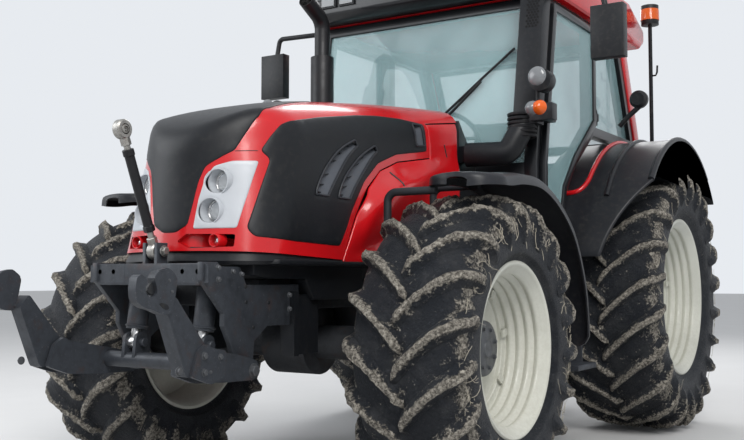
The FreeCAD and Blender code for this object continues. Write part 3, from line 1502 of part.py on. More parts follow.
half_tube = cylinder("half_cross_tube", "x", 0, s.cross_tube_at, s.cross_tube,
                     s.cross_tube_radius, arm_inner + 2)
rod_lugs = [
    side_plate(f"rod_lug_{number}", (
        (s.cross_tube_at - 36, s.cross_tube),
        (s.lift_eye_at - 30, s.lift_eye + 28),
        (s.lift_eye_at + 30, s.lift_eye + 28),
        (s.cross_tube_at + 36, s.cross_tube),
    ), place, place + s.top_lug)
    for number, place in enumerate((s.lift_half + s.eye_half + 1,
                                    s.lift_half - s.eye_half - s.top_lug - 1))
]
half_arms = fused("half_arms", [bracket, arm_bar, claw, half_tube] + rod_lugs)
node(fused("lift_arms", [half_arms, mirrored("half_arms_right", half_arms)]))

lift_top_place = (s.lift_half, s.lift_top_at, s.lift_top)
lift_eye_place = (s.lift_half, s.lift_eye_at, s.lift_eye)
lift_way = (point(lift_eye_place) - point(lift_top_place)).normalize()


def down_lift(distance):
    """A place on the lift cylinder's line, measured from its top pin."""
    step = lift_way * length(distance).value
    return (s.lift_half, s.lift_top_at + step.y, s.lift_top + step.z)


barrel = rod("lift_barrel", down_lift(s.barrel_neck), down_lift(s.barrel_length),
             s.barrel_radius)
neck = rod("barrel_neck_rod", down_lift(20), down_lift(s.barrel_neck + 10), s.piston_radius + 2)
barrel_eye = cylinder("barrel_eye", "x", s.lift_half - s.eye_half, s.lift_top_at, s.lift_top,
                      length(36), s.eye_half * 2)
barrel_bore = rod("barrel_bore", down_lift(s.barrel_neck + 12), down_lift(s.barrel_length + 10),
                  s.piston_radius + 1)
barrel_pin_bore = cylinder("barrel_pin_bore", "x", s.lift_half - 40, s.lift_top_at, s.lift_top,
                           s.lift_pin + 0.5, length(80))
barrel_left = cut("barrel_left", fused("barrel_body", [barrel, neck, barrel_eye]),
                  [barrel_bore, barrel_pin_bore])
node(grouped("lift_barrels", [barrel_left, mirrored("barrel_right", barrel_left)]))
lift_span = (point(lift_eye_place) - point(lift_top_place)).Length
piston = rod("piston", down_lift(s.barrel_neck + 20), down_lift(lift_span - 20), s.piston_radius)
piston_eye = cylinder("piston_eye", "x", s.lift_half - s.eye_half, s.lift_eye_at, s.lift_eye,
                      length(27), s.eye_half * 2)
piston_left = fused("piston_left", [piston, piston_eye])
node(grouped("lift_rods", [piston_left, mirrored("piston_right", piston_left)]))

top_tube = rod("top_tube", (0, s.top_pin_at, s.top_pin), (0, s.top_eye_at, s.top_eye),
               s.top_link_radius)
top_rings = [
    cylinder(f"top_ring_{number}", "x", -s.top_link_half, along, up, radius,
             s.top_link_half * 2)
    for number, (along, up, radius) in enumerate((
        (s.top_pin_at, s.top_pin, length(34)), (s.top_eye_at, s.top_eye, s.top_link_eye)))
]
top_bores = [
    cylinder(f"top_bore_{number}", "x", -s.top_link_half - 5, along, up, radius,
             s.top_link_half * 2 + 10)
    for number, (along, up, radius) in enumerate((
        (s.top_pin_at, s.top_pin, s.lift_pin + 0.5), (s.top_eye_at, s.top_eye, length(16))))
]
node(cut("front_top_link", fused("front_top_body", [top_tube] + top_rings), top_bores))

# Rear linkage, drawbar and power shaft

rear_linkage_sizes = {
    "rear_link_half": 262,
    "rear_link_pivot_at": 2890,
    "rear_link_pivot": 610,
    "rear_link_end_half": 420,
    "rear_link_end_at": 3740,
    "rear_link_end": 700,
    "rear_link_wide": 26,
    "rear_link_deep": 85,
    "rear_ball": 50,
    "rear_ball_half": 26,
    "rear_pin": 20,
    "rear_arm_half": 255,
    "rear_arm_pivot_at": 3030,
    "rear_arm_pivot": 1000,
    "rear_arm_end_at": 3400,
    "rear_arm_end": 1120,
    "rod_pin": 14,
    "rear_shaft": 40,
    "rear_rod_radius": 20,
    "rear_rod_foot": 0.6,
    "rear_top_pivot_at": 3135,
    "rear_top_pivot": 890,
    "rear_top_end_at": 3690,
    "rear_top_end": 1250,
    "drawbar_half": 50,
    "drawbar_low": 430,
    "drawbar_thick": 40,
    "drawbar_end_at": 3535,
    "drawbar_pin": 16,
    "shaft_radius": 17.5,
    "shaft_height": 740,
}
add_sizes(rear_linkage_sizes)
lift_shaft = cylinder("lift_shaft", "x", -s.rear_arm_half - 34, s.rear_arm_pivot_at,
                      s.rear_arm_pivot, s.rear_shaft, (s.rear_arm_half + 34) * 2)
shaft_seat = box("shaft_seat", 100, 180, s.gearbox_rear_at, s.rear_arm_pivot_at + 30,
                 s.rear_arm_pivot - 110, s.rear_arm_pivot)
lower_pin = cylinder("lower_pin", "x", s.gearbox_half + s.fit_gap, s.rear_link_pivot_at,
                     s.rear_link_pivot, s.rear_pin, s.rear_link_half + 30 - s.gearbox_half)
drawbar = side_plate("drawbar", (
    (s.gearbox_rear_at - 460, s.drawbar_low),
    (s.gearbox_rear_at - 460, s.drawbar_low + s.drawbar_thick),
    (s.drawbar_end_at, s.drawbar_low + s.drawbar_thick),
    (s.drawbar_end_at, s.drawbar_low),
), -s.drawbar_half, s.drawbar_half)
drawbar_hole = cylinder("drawbar_hole", "z", 0, s.drawbar_end_at - 50, s.drawbar_low - 10,
                        s.drawbar_pin, s.drawbar_thick + 20)
drawbar_hanger = box("drawbar_hanger", -90, 90, s.gearbox_rear_at - 260,
                     s.gearbox_rear_at - 160, s.drawbar_low + s.drawbar_thick,
                     s.gearbox_bottom)
drawbar_root = box("drawbar_root", -90, 90, s.gearbox_rear_at - 460, s.gearbox_rear_at - 360,
                   s.drawbar_low + s.drawbar_thick, s.gearbox_bottom)
power_shaft = cylinder("power_shaft", "y", 0, s.gearbox_rear_at, s.shaft_height,
                       s.shaft_radius, length(100))
top_fork = [
    box(f"rear_fork_{number}", place, place + 16, s.gearbox_rear_at, s.rear_top_pivot_at + 35,
        s.rear_top_pivot - 60, s.rear_top_pivot + 35)
    for number, place in enumerate((s.top_link_half + 1, -s.top_link_half - 17))
]
rear_top_pin = cylinder("rear_top_pin", "x", -s.top_link_half - 17, s.rear_top_pivot_at,
                        s.rear_top_pivot, s.lift_pin, s.top_link_half * 2 + 34)
node(cut("rear_hitch", fused("hitch_whole", [
    lift_shaft, shaft_seat, mirrored("shaft_seat_right", shaft_seat), drawbar, drawbar_hanger,
    drawbar_root, power_shaft, rear_top_pin, lower_pin, mirrored("lower_pin_right", lower_pin)
    ] + top_fork), [drawbar_hole]))

lower_link = bar("lower_link", (s.rear_link_half, s.rear_link_pivot_at, s.rear_link_pivot),
                 (s.rear_link_end_half, s.rear_link_end_at, s.rear_link_end), s.rear_link_wide,
                 s.rear_link_deep, length(20))
ball_end = cylinder("ball_end", "x", s.rear_link_end_half - s.rear_ball_half,
                    s.rear_link_end_at, s.rear_link_end, s.rear_ball, s.rear_ball_half * 2)
ball_bore = cylinder("ball_bore", "x", s.rear_link_end_half - 50, s.rear_link_end_at,
                     s.rear_link_end, length(18.5), length(100))
pin_bore = cylinder("pin_bore", "x", s.rear_link_half - 60, s.rear_link_pivot_at,
                    s.rear_link_pivot, s.rear_pin + 0.3, length(130))
lower_left = cut("lower_left", fused("lower_whole", [lower_link, ball_end]),
                 [ball_bore, pin_bore])
node(grouped("rear_lower_links", [lower_left, mirrored("lower_right", lower_left)]))

rear_arm = bar("rear_arm", (s.rear_arm_half + 12, s.rear_arm_pivot_at, s.rear_arm_pivot),
               (s.rear_arm_half + 12, s.rear_arm_end_at, s.rear_arm_end), length(24), length(70),
               length(26))
rear_arm_boss = cylinder("rear_arm_boss", "x", s.rear_arm_half, s.rear_arm_pivot_at,
                         s.rear_arm_pivot, length(70), length(24))
rear_arm_bore = cylinder("rear_arm_bore", "x", s.rear_arm_half - 10, s.rear_arm_pivot_at,
                         s.rear_arm_pivot, s.rear_shaft + 0.5, length(60))
rear_arm_pin = cylinder("rear_arm_pin", "x", s.rear_arm_half + 20, s.rear_arm_end_at,
                        s.rear_arm_end, s.rod_pin, length(64))
rear_arm_left = cut("rear_arm_left",
                    fused("rear_arm_whole", [rear_arm, rear_arm_boss, rear_arm_pin]),
                    [rear_arm_bore])
node(grouped("rear_lift_arms", [rear_arm_left, mirrored("rear_arm_right", rear_arm_left)]))

rod_top = (s.rear_arm_half + 52, s.rear_arm_end_at, s.rear_arm_end)
rod_share = s.rear_rod_foot
rod_foot = (s.rear_link_half + (s.rear_link_end_half - s.rear_link_half) * rod_share
            + s.rear_link_wide / 2 + s.rear_rod_radius + 16,
            s.rear_link_pivot_at + (s.rear_link_end_at - s.rear_link_pivot_at) * rod_share,
            s.rear_link_pivot + (s.rear_link_end - s.rear_link_pivot) * rod_share)
lift_rod = rod("lift_rod", rod_top, rod_foot, s.rear_rod_radius)
lift_rod_eye = cylinder("lift_rod_eye", "x", s.rear_arm_half + 27, s.rear_arm_end_at,
                        s.rear_arm_end, length(32), length(50))
lift_rod_bore = cylinder("lift_rod_bore", "x", s.rear_arm_half + 20, s.rear_arm_end_at,
                         s.rear_arm_end, s.rod_pin + s.fit_gap, length(64))
rear_rod_left = cut("rear_rod_left", fused("rear_rod_whole", [lift_rod, lift_rod_eye]),
                    [lift_rod_bore])
node(grouped("rear_lift_rods", [rear_rod_left, mirrored("rear_rod_right", rear_rod_left)]))

rear_top = rod("rear_top", (0, s.rear_top_pivot_at, s.rear_top_pivot),
               (0, s.rear_top_end_at, s.rear_top_end), s.top_link_radius)
rear_rings = [
    cylinder(f"rear_ring_{number}", "x", -s.top_link_half, along, up, radius,
             s.top_link_half * 2)
    for number, (along, up, radius) in enumerate((
        (s.rear_top_pivot_at, s.rear_top_pivot, length(32)),
        (s.rear_top_end_at, s.rear_top_end, s.top_link_eye)))
]
rear_bores = [
    cylinder(f"rear_bore_{number}", "x", -s.top_link_half - 5, along, up, radius,
             s.top_link_half * 2 + 10)
    for number, (along, up, radius) in enumerate((
        (s.rear_top_pivot_at, s.rear_top_pivot, s.lift_pin + 0.5),
        (s.rear_top_end_at, s.rear_top_end, length(16))))
]
node(cut("rear_top_link", fused("rear_top_whole", [rear_top] + rear_rings), rear_bores))

# Check every object, then write each sub-part

doc.recompute()
for thing in doc.Objects:
    for state in ("Invalid", "Error"):
        if state in thing.State:
            raise RuntimeError(f"{thing.Label} is {thing.State}")
for piece in nodes:
    if piece.Shape.isNull() or not piece.Shape.isValid():
        raise RuntimeError(f"{piece.Label} has no valid shape")
os.makedirs("parts", exist_ok=True)
for piece in nodes:
    piece.Shape.exportStep(f"parts/{piece.Label}.step")
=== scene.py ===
"""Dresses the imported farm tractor: shapes, finishes, stage, lights and camera."""
import json
import math
import random

import bmesh
import bpy
from mathutils import Matrix, Vector, noise
from mathutils.bvhtree import BVHTree
from mathutils.geometry import delaunay_2d_cdt

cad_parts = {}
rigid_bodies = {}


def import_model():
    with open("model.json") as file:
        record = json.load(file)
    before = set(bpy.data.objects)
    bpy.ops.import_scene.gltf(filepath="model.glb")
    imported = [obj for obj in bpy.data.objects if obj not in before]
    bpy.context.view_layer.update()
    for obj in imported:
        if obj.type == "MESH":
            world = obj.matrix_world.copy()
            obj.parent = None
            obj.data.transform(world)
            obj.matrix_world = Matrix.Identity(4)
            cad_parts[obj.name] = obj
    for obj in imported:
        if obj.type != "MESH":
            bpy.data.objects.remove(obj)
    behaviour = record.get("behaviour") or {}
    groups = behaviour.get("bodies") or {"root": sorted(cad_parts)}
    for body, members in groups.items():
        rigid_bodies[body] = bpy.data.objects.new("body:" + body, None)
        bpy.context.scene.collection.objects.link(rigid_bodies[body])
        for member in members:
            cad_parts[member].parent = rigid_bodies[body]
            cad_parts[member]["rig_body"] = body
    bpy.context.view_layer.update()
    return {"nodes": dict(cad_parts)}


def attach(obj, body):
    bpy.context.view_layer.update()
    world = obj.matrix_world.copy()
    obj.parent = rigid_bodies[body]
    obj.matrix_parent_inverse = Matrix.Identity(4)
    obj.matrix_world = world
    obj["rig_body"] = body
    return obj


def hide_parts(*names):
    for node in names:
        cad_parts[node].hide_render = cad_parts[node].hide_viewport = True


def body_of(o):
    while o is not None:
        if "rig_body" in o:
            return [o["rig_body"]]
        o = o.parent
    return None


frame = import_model()

bl_info = {
    "name": "Farm tractor dressing",
    "version": (1, 0, 0),
    "blender": (4, 5, 0),
    "location": "View3D > Sidebar > Tractor",
    "description": "Makes the visible pieces and finishes of a farm tractor on its solid frame",
    "category": "Object",
}

# Where the axles are, in metres

FRONT_AXLE = Vector((0, -1.112, 0.69))
REAR_AXLE = Vector((0, 1.553, 0.88))


def along(distance):
    """A place measured back from the front axle, as a y in the frame."""
    return FRONT_AXLE.y + distance


# Finishes: every one is made of nodes on the piece's own coordinates

class Finish:
    """Lays out one material's nodes."""

    def __init__(self, name):
        self.material = bpy.data.materials.new(name)
        self.material.use_nodes = True
        self.tree = self.material.node_tree
        self.shader = self.tree.nodes["Principled BSDF"]
        self.place = self.tree.nodes.new("ShaderNodeTexCoord").outputs["Object"]

    def link(self, value, socket):
        if isinstance(value, bpy.types.NodeSocket):
            self.tree.links.new(value, socket)
        else:
            socket.default_value = value

    def calc(self, operation, *values):
        node = self.tree.nodes.new("ShaderNodeMath")
        node.operation = operation
        for value, socket in zip(values, node.inputs):
            self.link(value, socket)
        return node.outputs[0]

    def noise(self, scale, detail=4.0, roughness=0.6, place=None):
        node = self.tree.nodes.new("ShaderNodeTexNoise")
        node.inputs["Scale"].default_value = scale
        node.inputs["Detail"].default_value = detail
        node.inputs["Roughness"].default_value = roughness
        self.tree.links.new(place or self.place, node.inputs["Vector"])
        return node.outputs["Fac"]

    def cells(self, scale, feature="F1", place=None):
        node = self.tree.nodes.new("ShaderNodeTexVoronoi")
        node.feature = feature
        node.inputs["Scale"].default_value = scale
        self.tree.links.new(place or self.place, node.inputs["Vector"])
        return node.outputs["Distance"]

    def stretched(self, x, y, z):
        node = self.tree.nodes.new("ShaderNodeMapping")
        node.inputs["Scale"].default_value = (x, y, z)
        self.tree.links.new(self.place, node.inputs["Vector"])
        return node.outputs["Vector"]

    def step(self, value, low, high, start=0.0, end=1.0):
        """Maps value from low..high to start..end, smoothly and within those ends."""
        node = self.tree.nodes.new("ShaderNodeMapRange")
        node.interpolation_type = "SMOOTHSTEP"
        self.link(value, node.inputs["Value"])
        for name, number in (("From Min", low), ("From Max", high), ("To Min", start),
                             ("To Max", end)):
            node.inputs[name].default_value = number
        return node.outputs["Result"]

    def mix(self, share, first, second):
        node = self.tree.nodes.new("ShaderNodeMix")
        node.data_type = "RGBA"
        self.link(share, node.inputs["Factor"])
        for value, name in ((first, "A"), (second, "B")):
            socket = [s for s in node.inputs if s.name == name and s.type == "RGBA"][0]
            if isinstance(value, bpy.types.NodeSocket):
                self.tree.links.new(value, socket)
            else:
                socket.default_value = (*value, 1)
        return [s for s in node.outputs if s.type == "RGBA"][0]

    def radius(self, axle):
        """Distance of a point from a wheel's axle."""
        parts = self.tree.nodes.new("ShaderNodeSeparateXYZ")
        self.tree.links.new(self.place, parts.inputs[0])
        y = self.calc("SUBTRACT", parts.outputs["Y"], axle.y)
        z = self.calc("SUBTRACT", parts.outputs["Z"], axle.z)
        return self.calc("SQRT", self.calc("ADD", self.calc("MULTIPLY", y, y),
                                           self.calc("MULTIPLY", z, z)))

    def own(self, name):
        """A value that the mesh carries at its points."""
        node = self.tree.nodes.new("ShaderNodeAttribute")
        node.attribute_name = name
        return node.outputs["Fac"]

    def height(self):
        parts = self.tree.nodes.new("ShaderNodeSeparateXYZ")
        self.tree.links.new(self.place, parts.inputs[0])
        return parts.outputs["Z"]

    def bump(self, height, strength, distance=0.002, normal=None):
        node = self.tree.nodes.new("ShaderNodeBump")
        node.inputs["Strength"].default_value = strength
        node.inputs["Distance"].default_value = distance
        self.tree.links.new(height, node.inputs["Height"])
        if normal:
            self.tree.links.new(normal, node.inputs["Normal"])
        return node.outputs["Normal"]

    def set(self, **values):
        names = {"color": "Base Color", "metal": "Metallic", "rough": "Roughness",
                 "normal": "Normal", "coat": "Coat Weight", "coat_rough": "Coat Roughness",
                 "clear": "Transmission Weight", "ior": "IOR", "alpha": "Alpha",
                 "sheen": "Sheen Weight", "specular": "Specular IOR Level",
                 "aniso": "Anisotropic"}
        for name, value in values.items():
            socket = self.shader.inputs[names[name]]
            if isinstance(value, tuple):
                value = (*value, 1)
            self.link(value, socket)
        return self.material


def paint(name, color, rough, coat, dust=0.0, dust_color=(0.20, 0.17, 0.13), specular=0.35):
    """Sprayed paint: slight colour change, orange-peel bump, fine dust low down."""
    f = Finish(name)
    fine = f.noise(60, 5)
    body = f.mix(f.step(f.noise(2.5, 3), 0.35, 0.7), color, tuple(c * 0.86 for c in color))
    speck = f.step(f.noise(240, 3), 0.62, 0.72)
    low = f.step(f.height(), 1.5, 0.4)
    share = f.calc("MULTIPLY", f.calc("ADD", f.calc("MULTIPLY", speck, 0.35),
                                      f.calc("MULTIPLY", fine, low)), dust)
    roughness = f.calc("ADD", f.calc("MULTIPLY", fine, 0.10 + dust * 0.4), rough - 0.05)
    return f.set(color=f.mix(share, body, dust_color), rough=roughness, coat=coat,
                 coat_rough=0.06, specular=specular,
                 normal=f.bump(f.noise(420, 2), 0.08, 0.0006))


def moulded(name, color, rough, grain=0.35, dust=0.12, specular=0.25):
    """Moulded plastic with a fine grain and a little dust."""
    f = Finish(name)
    fine = f.noise(35, 5)
    body = f.mix(f.step(f.noise(3, 3), 0.3, 0.75), color, tuple(c * 1.35 for c in color))
    body = f.mix(f.calc("MULTIPLY", f.step(fine, 0.45, 0.8), dust), body, (0.16, 0.145, 0.12))
    roughness = f.calc("ADD", f.calc("MULTIPLY", fine, 0.12), rough - 0.05)
    return f.set(color=body, rough=roughness, specular=specular,
                 normal=f.bump(f.cells(900), grain, 0.0004))


def metal(name, color, rough, worn=(0.32, 0.31, 0.30), wear=0.15, metallic=0.6, rust=0.0):
    """Machined or painted metal with scuffs, dirt and a trace of rust."""
    f = Finish(name)
    fine = f.noise(28, 6)
    scuff = f.step(f.noise(95, 6, 0.7), 0.60, 0.68)
    body = f.mix(f.step(fine, 0.35, 0.75), color, tuple(c * 0.7 for c in color))
    body = f.mix(f.calc("MULTIPLY", scuff, wear), body, worn)
    body = f.mix(f.calc("MULTIPLY", f.step(f.noise(14, 6), 0.55, 0.7), rust), body,
                 (0.16, 0.06, 0.025))
    roughness = f.calc("ADD", f.calc("MULTIPLY", fine, 0.25), rough - 0.1)
    return f.set(color=body, metal=metallic, rough=roughness, specular=0.35,
                 normal=f.bump(f.noise(160, 4), 0.25, 0.001))


def muddy_rubber(name, axle, bead):
    """Blue-black rubber; dry crumbled mud where the mesh's own value says that it clings."""
    f = Finish(name)
    crumb = f.noise(70, 9, 0.75)
    clod = f.noise(19, 5, 0.6)
    rubber = f.mix(f.step(crumb, 0.3, 0.8), (0.007, 0.009, 0.013), (0.021, 0.025, 0.033))
    splash = f.step(f.noise(150, 4, 0.8), 0.60, 0.66)
    dusty = f.mix(f.calc("MULTIPLY", splash, 0.55), rubber, (0.13, 0.13, 0.13))
    film = f.step(f.noise(9, 6, 0.7), 0.42, 0.75)
    dusty = f.mix(f.calc("MULTIPLY", film, 0.30), dusty, (0.105, 0.105, 0.105))
    pits = f.step(f.cells(95), 0.10, 0.42)
    tone = f.calc("MULTIPLY", f.step(crumb, 0.36, 0.66), f.calc("ADD", f.calc(
        "MULTIPLY", pits, 0.55), 0.45))
    mud = f.mix(tone, (0.045, 0.040, 0.034), (0.47, 0.435, 0.375))
    cling = f.calc("ADD", f.own("mud"), f.calc("MULTIPLY", f.calc("SUBTRACT", f.calc(
        "ADD", crumb, clod), 1.0), 1.5))
    share = f.step(cling, 0.42, 0.66)
    depth = f.radius(axle)
    ring = f.step(f.calc("SINE", f.calc("MULTIPLY", depth, 420)), 0.80, 1.0)
    wall = f.calc("MULTIPLY", ring, f.step(depth, bead + 0.10, bead + 0.04))
    height = f.calc("ADD", f.calc("MULTIPLY", share, 0.8), f.calc("MULTIPLY", tone, 0.7))
    height = f.calc("ADD", height, f.calc("MULTIPLY", wall, 0.35))
    return f.set(color=f.mix(share, dusty, mud), specular=0.3, rough=f.calc(
        "ADD", f.calc("MULTIPLY", share, 0.38), 0.50), normal=f.bump(height, 0.85, 0.010))


def glass(name, color, rough=0.0, alpha=0.34):
    """Tinted pane, clear with a pale bloom, so that it also exports."""
    f = Finish(name)
    smear = f.noise(6, 5)
    return f.set(color=f.mix(f.step(smear, 0.4, 0.7), color, tuple(c * 0.9 for c in color)),
                 rough=f.calc("ADD", f.calc("MULTIPLY", smear, 0.05), rough),
                 alpha=alpha, ior=1.5)


def ribbed_cloth(name, color):
    """Woven seat cloth."""
    f = Finish(name)
    warp = f.calc("SINE", f.calc("MULTIPLY", f.noise(3, 1), 5))
    cells = f.cells(420)
    body = f.mix(f.step(cells, 0.1, 0.6), color, tuple(c * 2.1 for c in color))
    body = f.mix(f.calc("MULTIPLY", f.step(warp, -1, 1), 0.25), body, (0.09, 0.09, 0.095))
    return f.set(color=body, rough=0.92, sheen=0.4, normal=f.bump(cells, 0.6, 0.001))


finishes = {}


def make_finishes(colors):
    red, cream = tuple(colors.hood_red), tuple(colors.rim_cream)
    black, steel, grey = (0.0065, 0.0075, 0.0095), (0.62, 0.62, 0.62), (0.040, 0.045, 0.054)
    finishes.update({
        "red_paint": paint("red_paint", red, 0.22, 0.4, 0.04),
        "rim_cream": paint("rim_cream", cream, 0.34, 0.2, 0.50, (0.30, 0.27, 0.21)),
        "satin_black": moulded("satin_black", black, 0.42, 0.25, 0.05),
        "fender_black": moulded("fender_black", (0.012, 0.013, 0.016), 0.36, 0.2, 0.10),
        "cab_black": paint("cab_black", (0.007, 0.008, 0.010), 0.32, 0.15, 0.06),
        "lamp_silver": paint("lamp_silver", (0.50, 0.525, 0.56), 0.36, 0.1, 0.03),
        # painted sheen: the vent floors get a grey well lighter than the black panel, for the
        # light that their inclined satin floors catch
        "vent_grey": moulded("vent_grey", (0.060, 0.066, 0.078), 0.46),
        "vent_rim": moulded("vent_rim", (0.022, 0.024, 0.029), 0.36),
        "linkage_grey": metal("linkage_grey", grey, 0.44, (0.2, 0.2, 0.21), 0.30, 0.2, 0.12),
        "cast_dark": metal("cast_dark", (0.020, 0.022, 0.026), 0.55, (0.10, 0.09, 0.08), 0.3,
                           0.15, 0.10),
        "bright_steel": metal("bright_steel", steel, 0.26, (0.3, 0.27, 0.22), 0.25, 0.95,
                              0.06),
        "worn_steel": metal("worn_steel", (0.34, 0.33, 0.31), 0.36, (0.12, 0.09, 0.06), 0.5, 0.8,
                            0.25),
        "exhaust_black": metal("exhaust_black", (0.010, 0.010, 0.012), 0.40,
                               (0.06, 0.055, 0.05), 0.2, 0.2, 0.03),
        "lamp_black": moulded("lamp_black", (0.011, 0.012, 0.014), 0.40),
        "grey_plastic": moulded("grey_plastic", (0.055, 0.062, 0.074), 0.42),
        "hub_grey": metal("hub_grey", (0.085, 0.09, 0.098), 0.42, (0.2, 0.19, 0.17), 0.3, 0.3,
                          0.05),
        "hose_rubber": moulded("hose_rubber", (0.009, 0.009, 0.011), 0.5, 0.2, 0.15),
        "cab_glass": glass("cab_glass", (0.42, 0.64, 0.67)),
        "lens": glass("lens", (0.88, 0.91, 0.93), 0.02, 0.30),
        "reflector": metal("reflector", (0.80, 0.82, 0.84), 0.14, steel, 0.02, 1.0),
        # painted shade: near-black finish for the discs that stand for the shadow inside the
        # intake grille's holes
        "dark_pit": moulded("dark_pit", (0.003, 0.003, 0.0035), 0.7, 0.1, 0.0),
        "orange_lens": glass("orange_lens", (0.70, 0.11, 0.006), 0.10, 0.95),
        "lamp_glass": paint("lamp_glass", (0.17, 0.18, 0.19), 0.20, 0.5),
        "mirror": metal("mirror", (0.72, 0.75, 0.78), 0.10, steel, 0.0, 1.0),
        "seat_cloth": ribbed_cloth("seat_cloth", (0.022, 0.022, 0.025)),
        "straw": moulded("straw", (0.36, 0.33, 0.27), 0.8, 0.1, 0.0),
        "front_tyre": muddy_rubber("front_tyre", FRONT_AXLE, 0.378),
        "rear_tyre": muddy_rubber("rear_tyre", REAR_AXLE, 0.505),
    })


# Mesh helpers

def piece(name, mesh, finish, body="root", stands_for=()):
    """A finished object: material, slot, body and the solids it stands for."""
    if isinstance(mesh, bpy.types.Object):
        thing = mesh
        thing.name = name
    else:
        thing = bpy.data.objects.new(name, mesh)
    if thing.name not in bpy.context.scene.collection.objects:
        bpy.context.scene.collection.objects.link(thing)
    thing.data.materials.clear()
    thing.data.materials.append(finishes[finish])
    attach(thing, body)
    if stands_for:
        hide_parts(*stands_for)
    return thing


def to_mesh(bm, name="shape", smooth=35):
    """Closes a bmesh into a mesh with outward normals and smooth shading under an angle."""
    bmesh.ops.recalc_face_normals(bm, faces=bm.faces)
    mesh = bpy.data.meshes.new(name)
    for face in bm.faces:
        face.smooth = True
    for edge in bm.edges:
        if edge.is_manifold:
            edge.smooth = edge.calc_face_angle(0) < math.radians(smooth)
    bm.to_mesh(mesh)
    bm.free()
    return mesh


def joined(meshes, name="shape"):
    """One mesh of several, each kept as it is."""
    bm = bmesh.new()
    for mesh in meshes:
        bm.from_mesh(mesh)
        bpy.data.meshes.remove(mesh)
    mesh = bpy.data.meshes.new(name)
    bm.to_mesh(mesh)
    bm.free()
    return mesh


def mirrored(mesh):
    """The same mesh on the tractor's other side."""
    other = mesh.copy()
    other.transform(Matrix.Scale(-1, 4, (1, 0, 0)))
    other.flip_normals()
    return other


def moved(mesh, matrix):
    mesh.transform(matrix)
    return mesh


def lathe(profile, centre, steps=96, closed=True, smooth=35):
    """Turns (side, radius) points about an axle along x."""
    bm = bmesh.new()
    rings = []
    for step in range(steps):
        turn = 2 * math.pi * step / steps
        rings.append([bm.verts.new((centre.x + side, centre.y + radius * math.cos(turn),
                                    centre.z + radius * math.sin(turn)))
                      for side, radius in profile])
    count = len(profile)
    for step in range(steps):
        first, second = rings[step], rings[(step + 1) % steps]
        for i in range(count if closed else count - 1):
            j = (i + 1) % count
            bm.faces.new((first[i], first[j], second[j], second[i]))
    bmesh.ops.remove_doubles(bm, verts=bm.verts, dist=1e-6)
    return to_mesh(bm, smooth=smooth)


def loft(rings, wrap=True, caps=True, smooth=35, closed=False):
    """Skins rings of equal length, in order."""
    bm = bmesh.new()
    rows = [[bm.verts.new(p) for p in ring] for ring in rings]
    count = len(rows[0])
    pairs = list(zip(rows, rows[1:]))
    if closed:
        pairs.append((rows[-1], rows[0]))
    for first, second in pairs:
        for i in range(count if wrap else count - 1):
            j = (i + 1) % count
            bm.faces.new((first[i], first[j], second[j], second[i]))
    if caps and not closed:
        bm.faces.new(rows[0])
        bm.faces.new(rows[-1])
    return to_mesh(bm, smooth=smooth)


def curve_points(points, steps=8, closed=False):
    """A smooth line through the points."""
    points = [Vector(p) for p in points]
    count = len(points)
    made = []
    spans = count if closed else count - 1
    for i in range(spans):
        if closed:
            a, b, c, d = (points[(i + k) % count] for k in (-1, 0, 1, 2))
        else:
            a, b = points[max(i - 1, 0)], points[i]
            c, d = points[i + 1], points[min(i + 2, count - 1)]
        for step in range(steps):
            t = step / steps
            made.append(0.5 * ((2 * b) + (c - a) * t + (2 * a - 5 * b + 4 * c - d) * t * t
                               + (3 * b - a - 3 * c + d) * t ** 3))
    if not closed:
        made.append(points[-1].copy())
    return made


def tube(points, radius, sides=12, closed=False, steps=0, taper=None):
    """A round tube along the points; steps rounds the line between them."""
    line = curve_points(points, steps, closed) if steps else [Vector(p) for p in points]
    count = len(line)
    ways = []
    for i in range(count):
        before = line[(i - 1) % count] if closed or i else line[i]
        after = line[(i + 1) % count] if closed or i < count - 1 else line[i]
        ways.append((after - before).normalized())
    side = ways[0].orthogonal().normalized()
    rings = []
    for i, (point, way) in enumerate(zip(line, ways)):
        side = (side - way * side.dot(way)).normalized()
        other = way.cross(side)
        size = radius if taper is None else radius * taper(i / (count - 1))
        rings.append([point + size * (side * math.cos(2 * math.pi * k / sides)
                                      + other * math.sin(2 * math.pi * k / sides))
                      for k in range(sides)])
    return loft(rings, closed=closed)


def slab(outline, thickness, bevel=0.0, segments=2):
    """A plate: the outline's points, thickened along their own normal, edges rounded."""
    outline = [Vector(p) for p in outline]
    normal = Vector((0, 0, 0))
    for a, b in zip(outline, outline[1:] + outline[:1]):
        normal += a.cross(b)
    normal.normalize()
    bm = bmesh.new()
    front = [bm.verts.new(p) for p in outline]
    back = [bm.verts.new(p - normal * thickness) for p in outline]
    bm.faces.new(front)
    bm.faces.new(back[::-1])
    for i in range(len(front)):
        j = (i + 1) % len(front)
        bm.faces.new((front[j], front[i], back[i], back[j]))
    if bevel:
        sharp = [e for e in bm.edges if e.calc_face_angle(0) > math.radians(30)]
        bmesh.ops.bevel(bm, geom=sharp, offset=bevel, segments=segments, affect="EDGES",
                        clamp_overlap=True, profile=0.5)
    return to_mesh(bm)


def block(low, high, bevel=0.004, segments=2):
    """A rounded block between two corners."""
    x0, y0, z0 = low
    x1, y1, z1 = high
    return slab(((x0, y0, z1), (x1, y0, z1), (x1, y1, z1), (x0, y1, z1)), z1 - z0, bevel,
                segments)


def rod(start, end, radius, sides=20, bevel=0.15):
    """A round bar with softened ends."""
    start, end = Vector(start), Vector(end)
    way = (end - start).normalized()
    step = way * radius * bevel
    points = (start, start + step, end - step, end)
    small = 1 - bevel
    side = way.orthogonal().normalized()
    other = way.cross(side)
    rings = []
    for point, size in zip(points, (small, 1, 1, small)):
        rings.append([point + radius * size * (side * math.cos(2 * math.pi * k / sides)
                                               + other * math.sin(2 * math.pi * k / sides))
                      for k in range(sides)])
    return loft(rings)


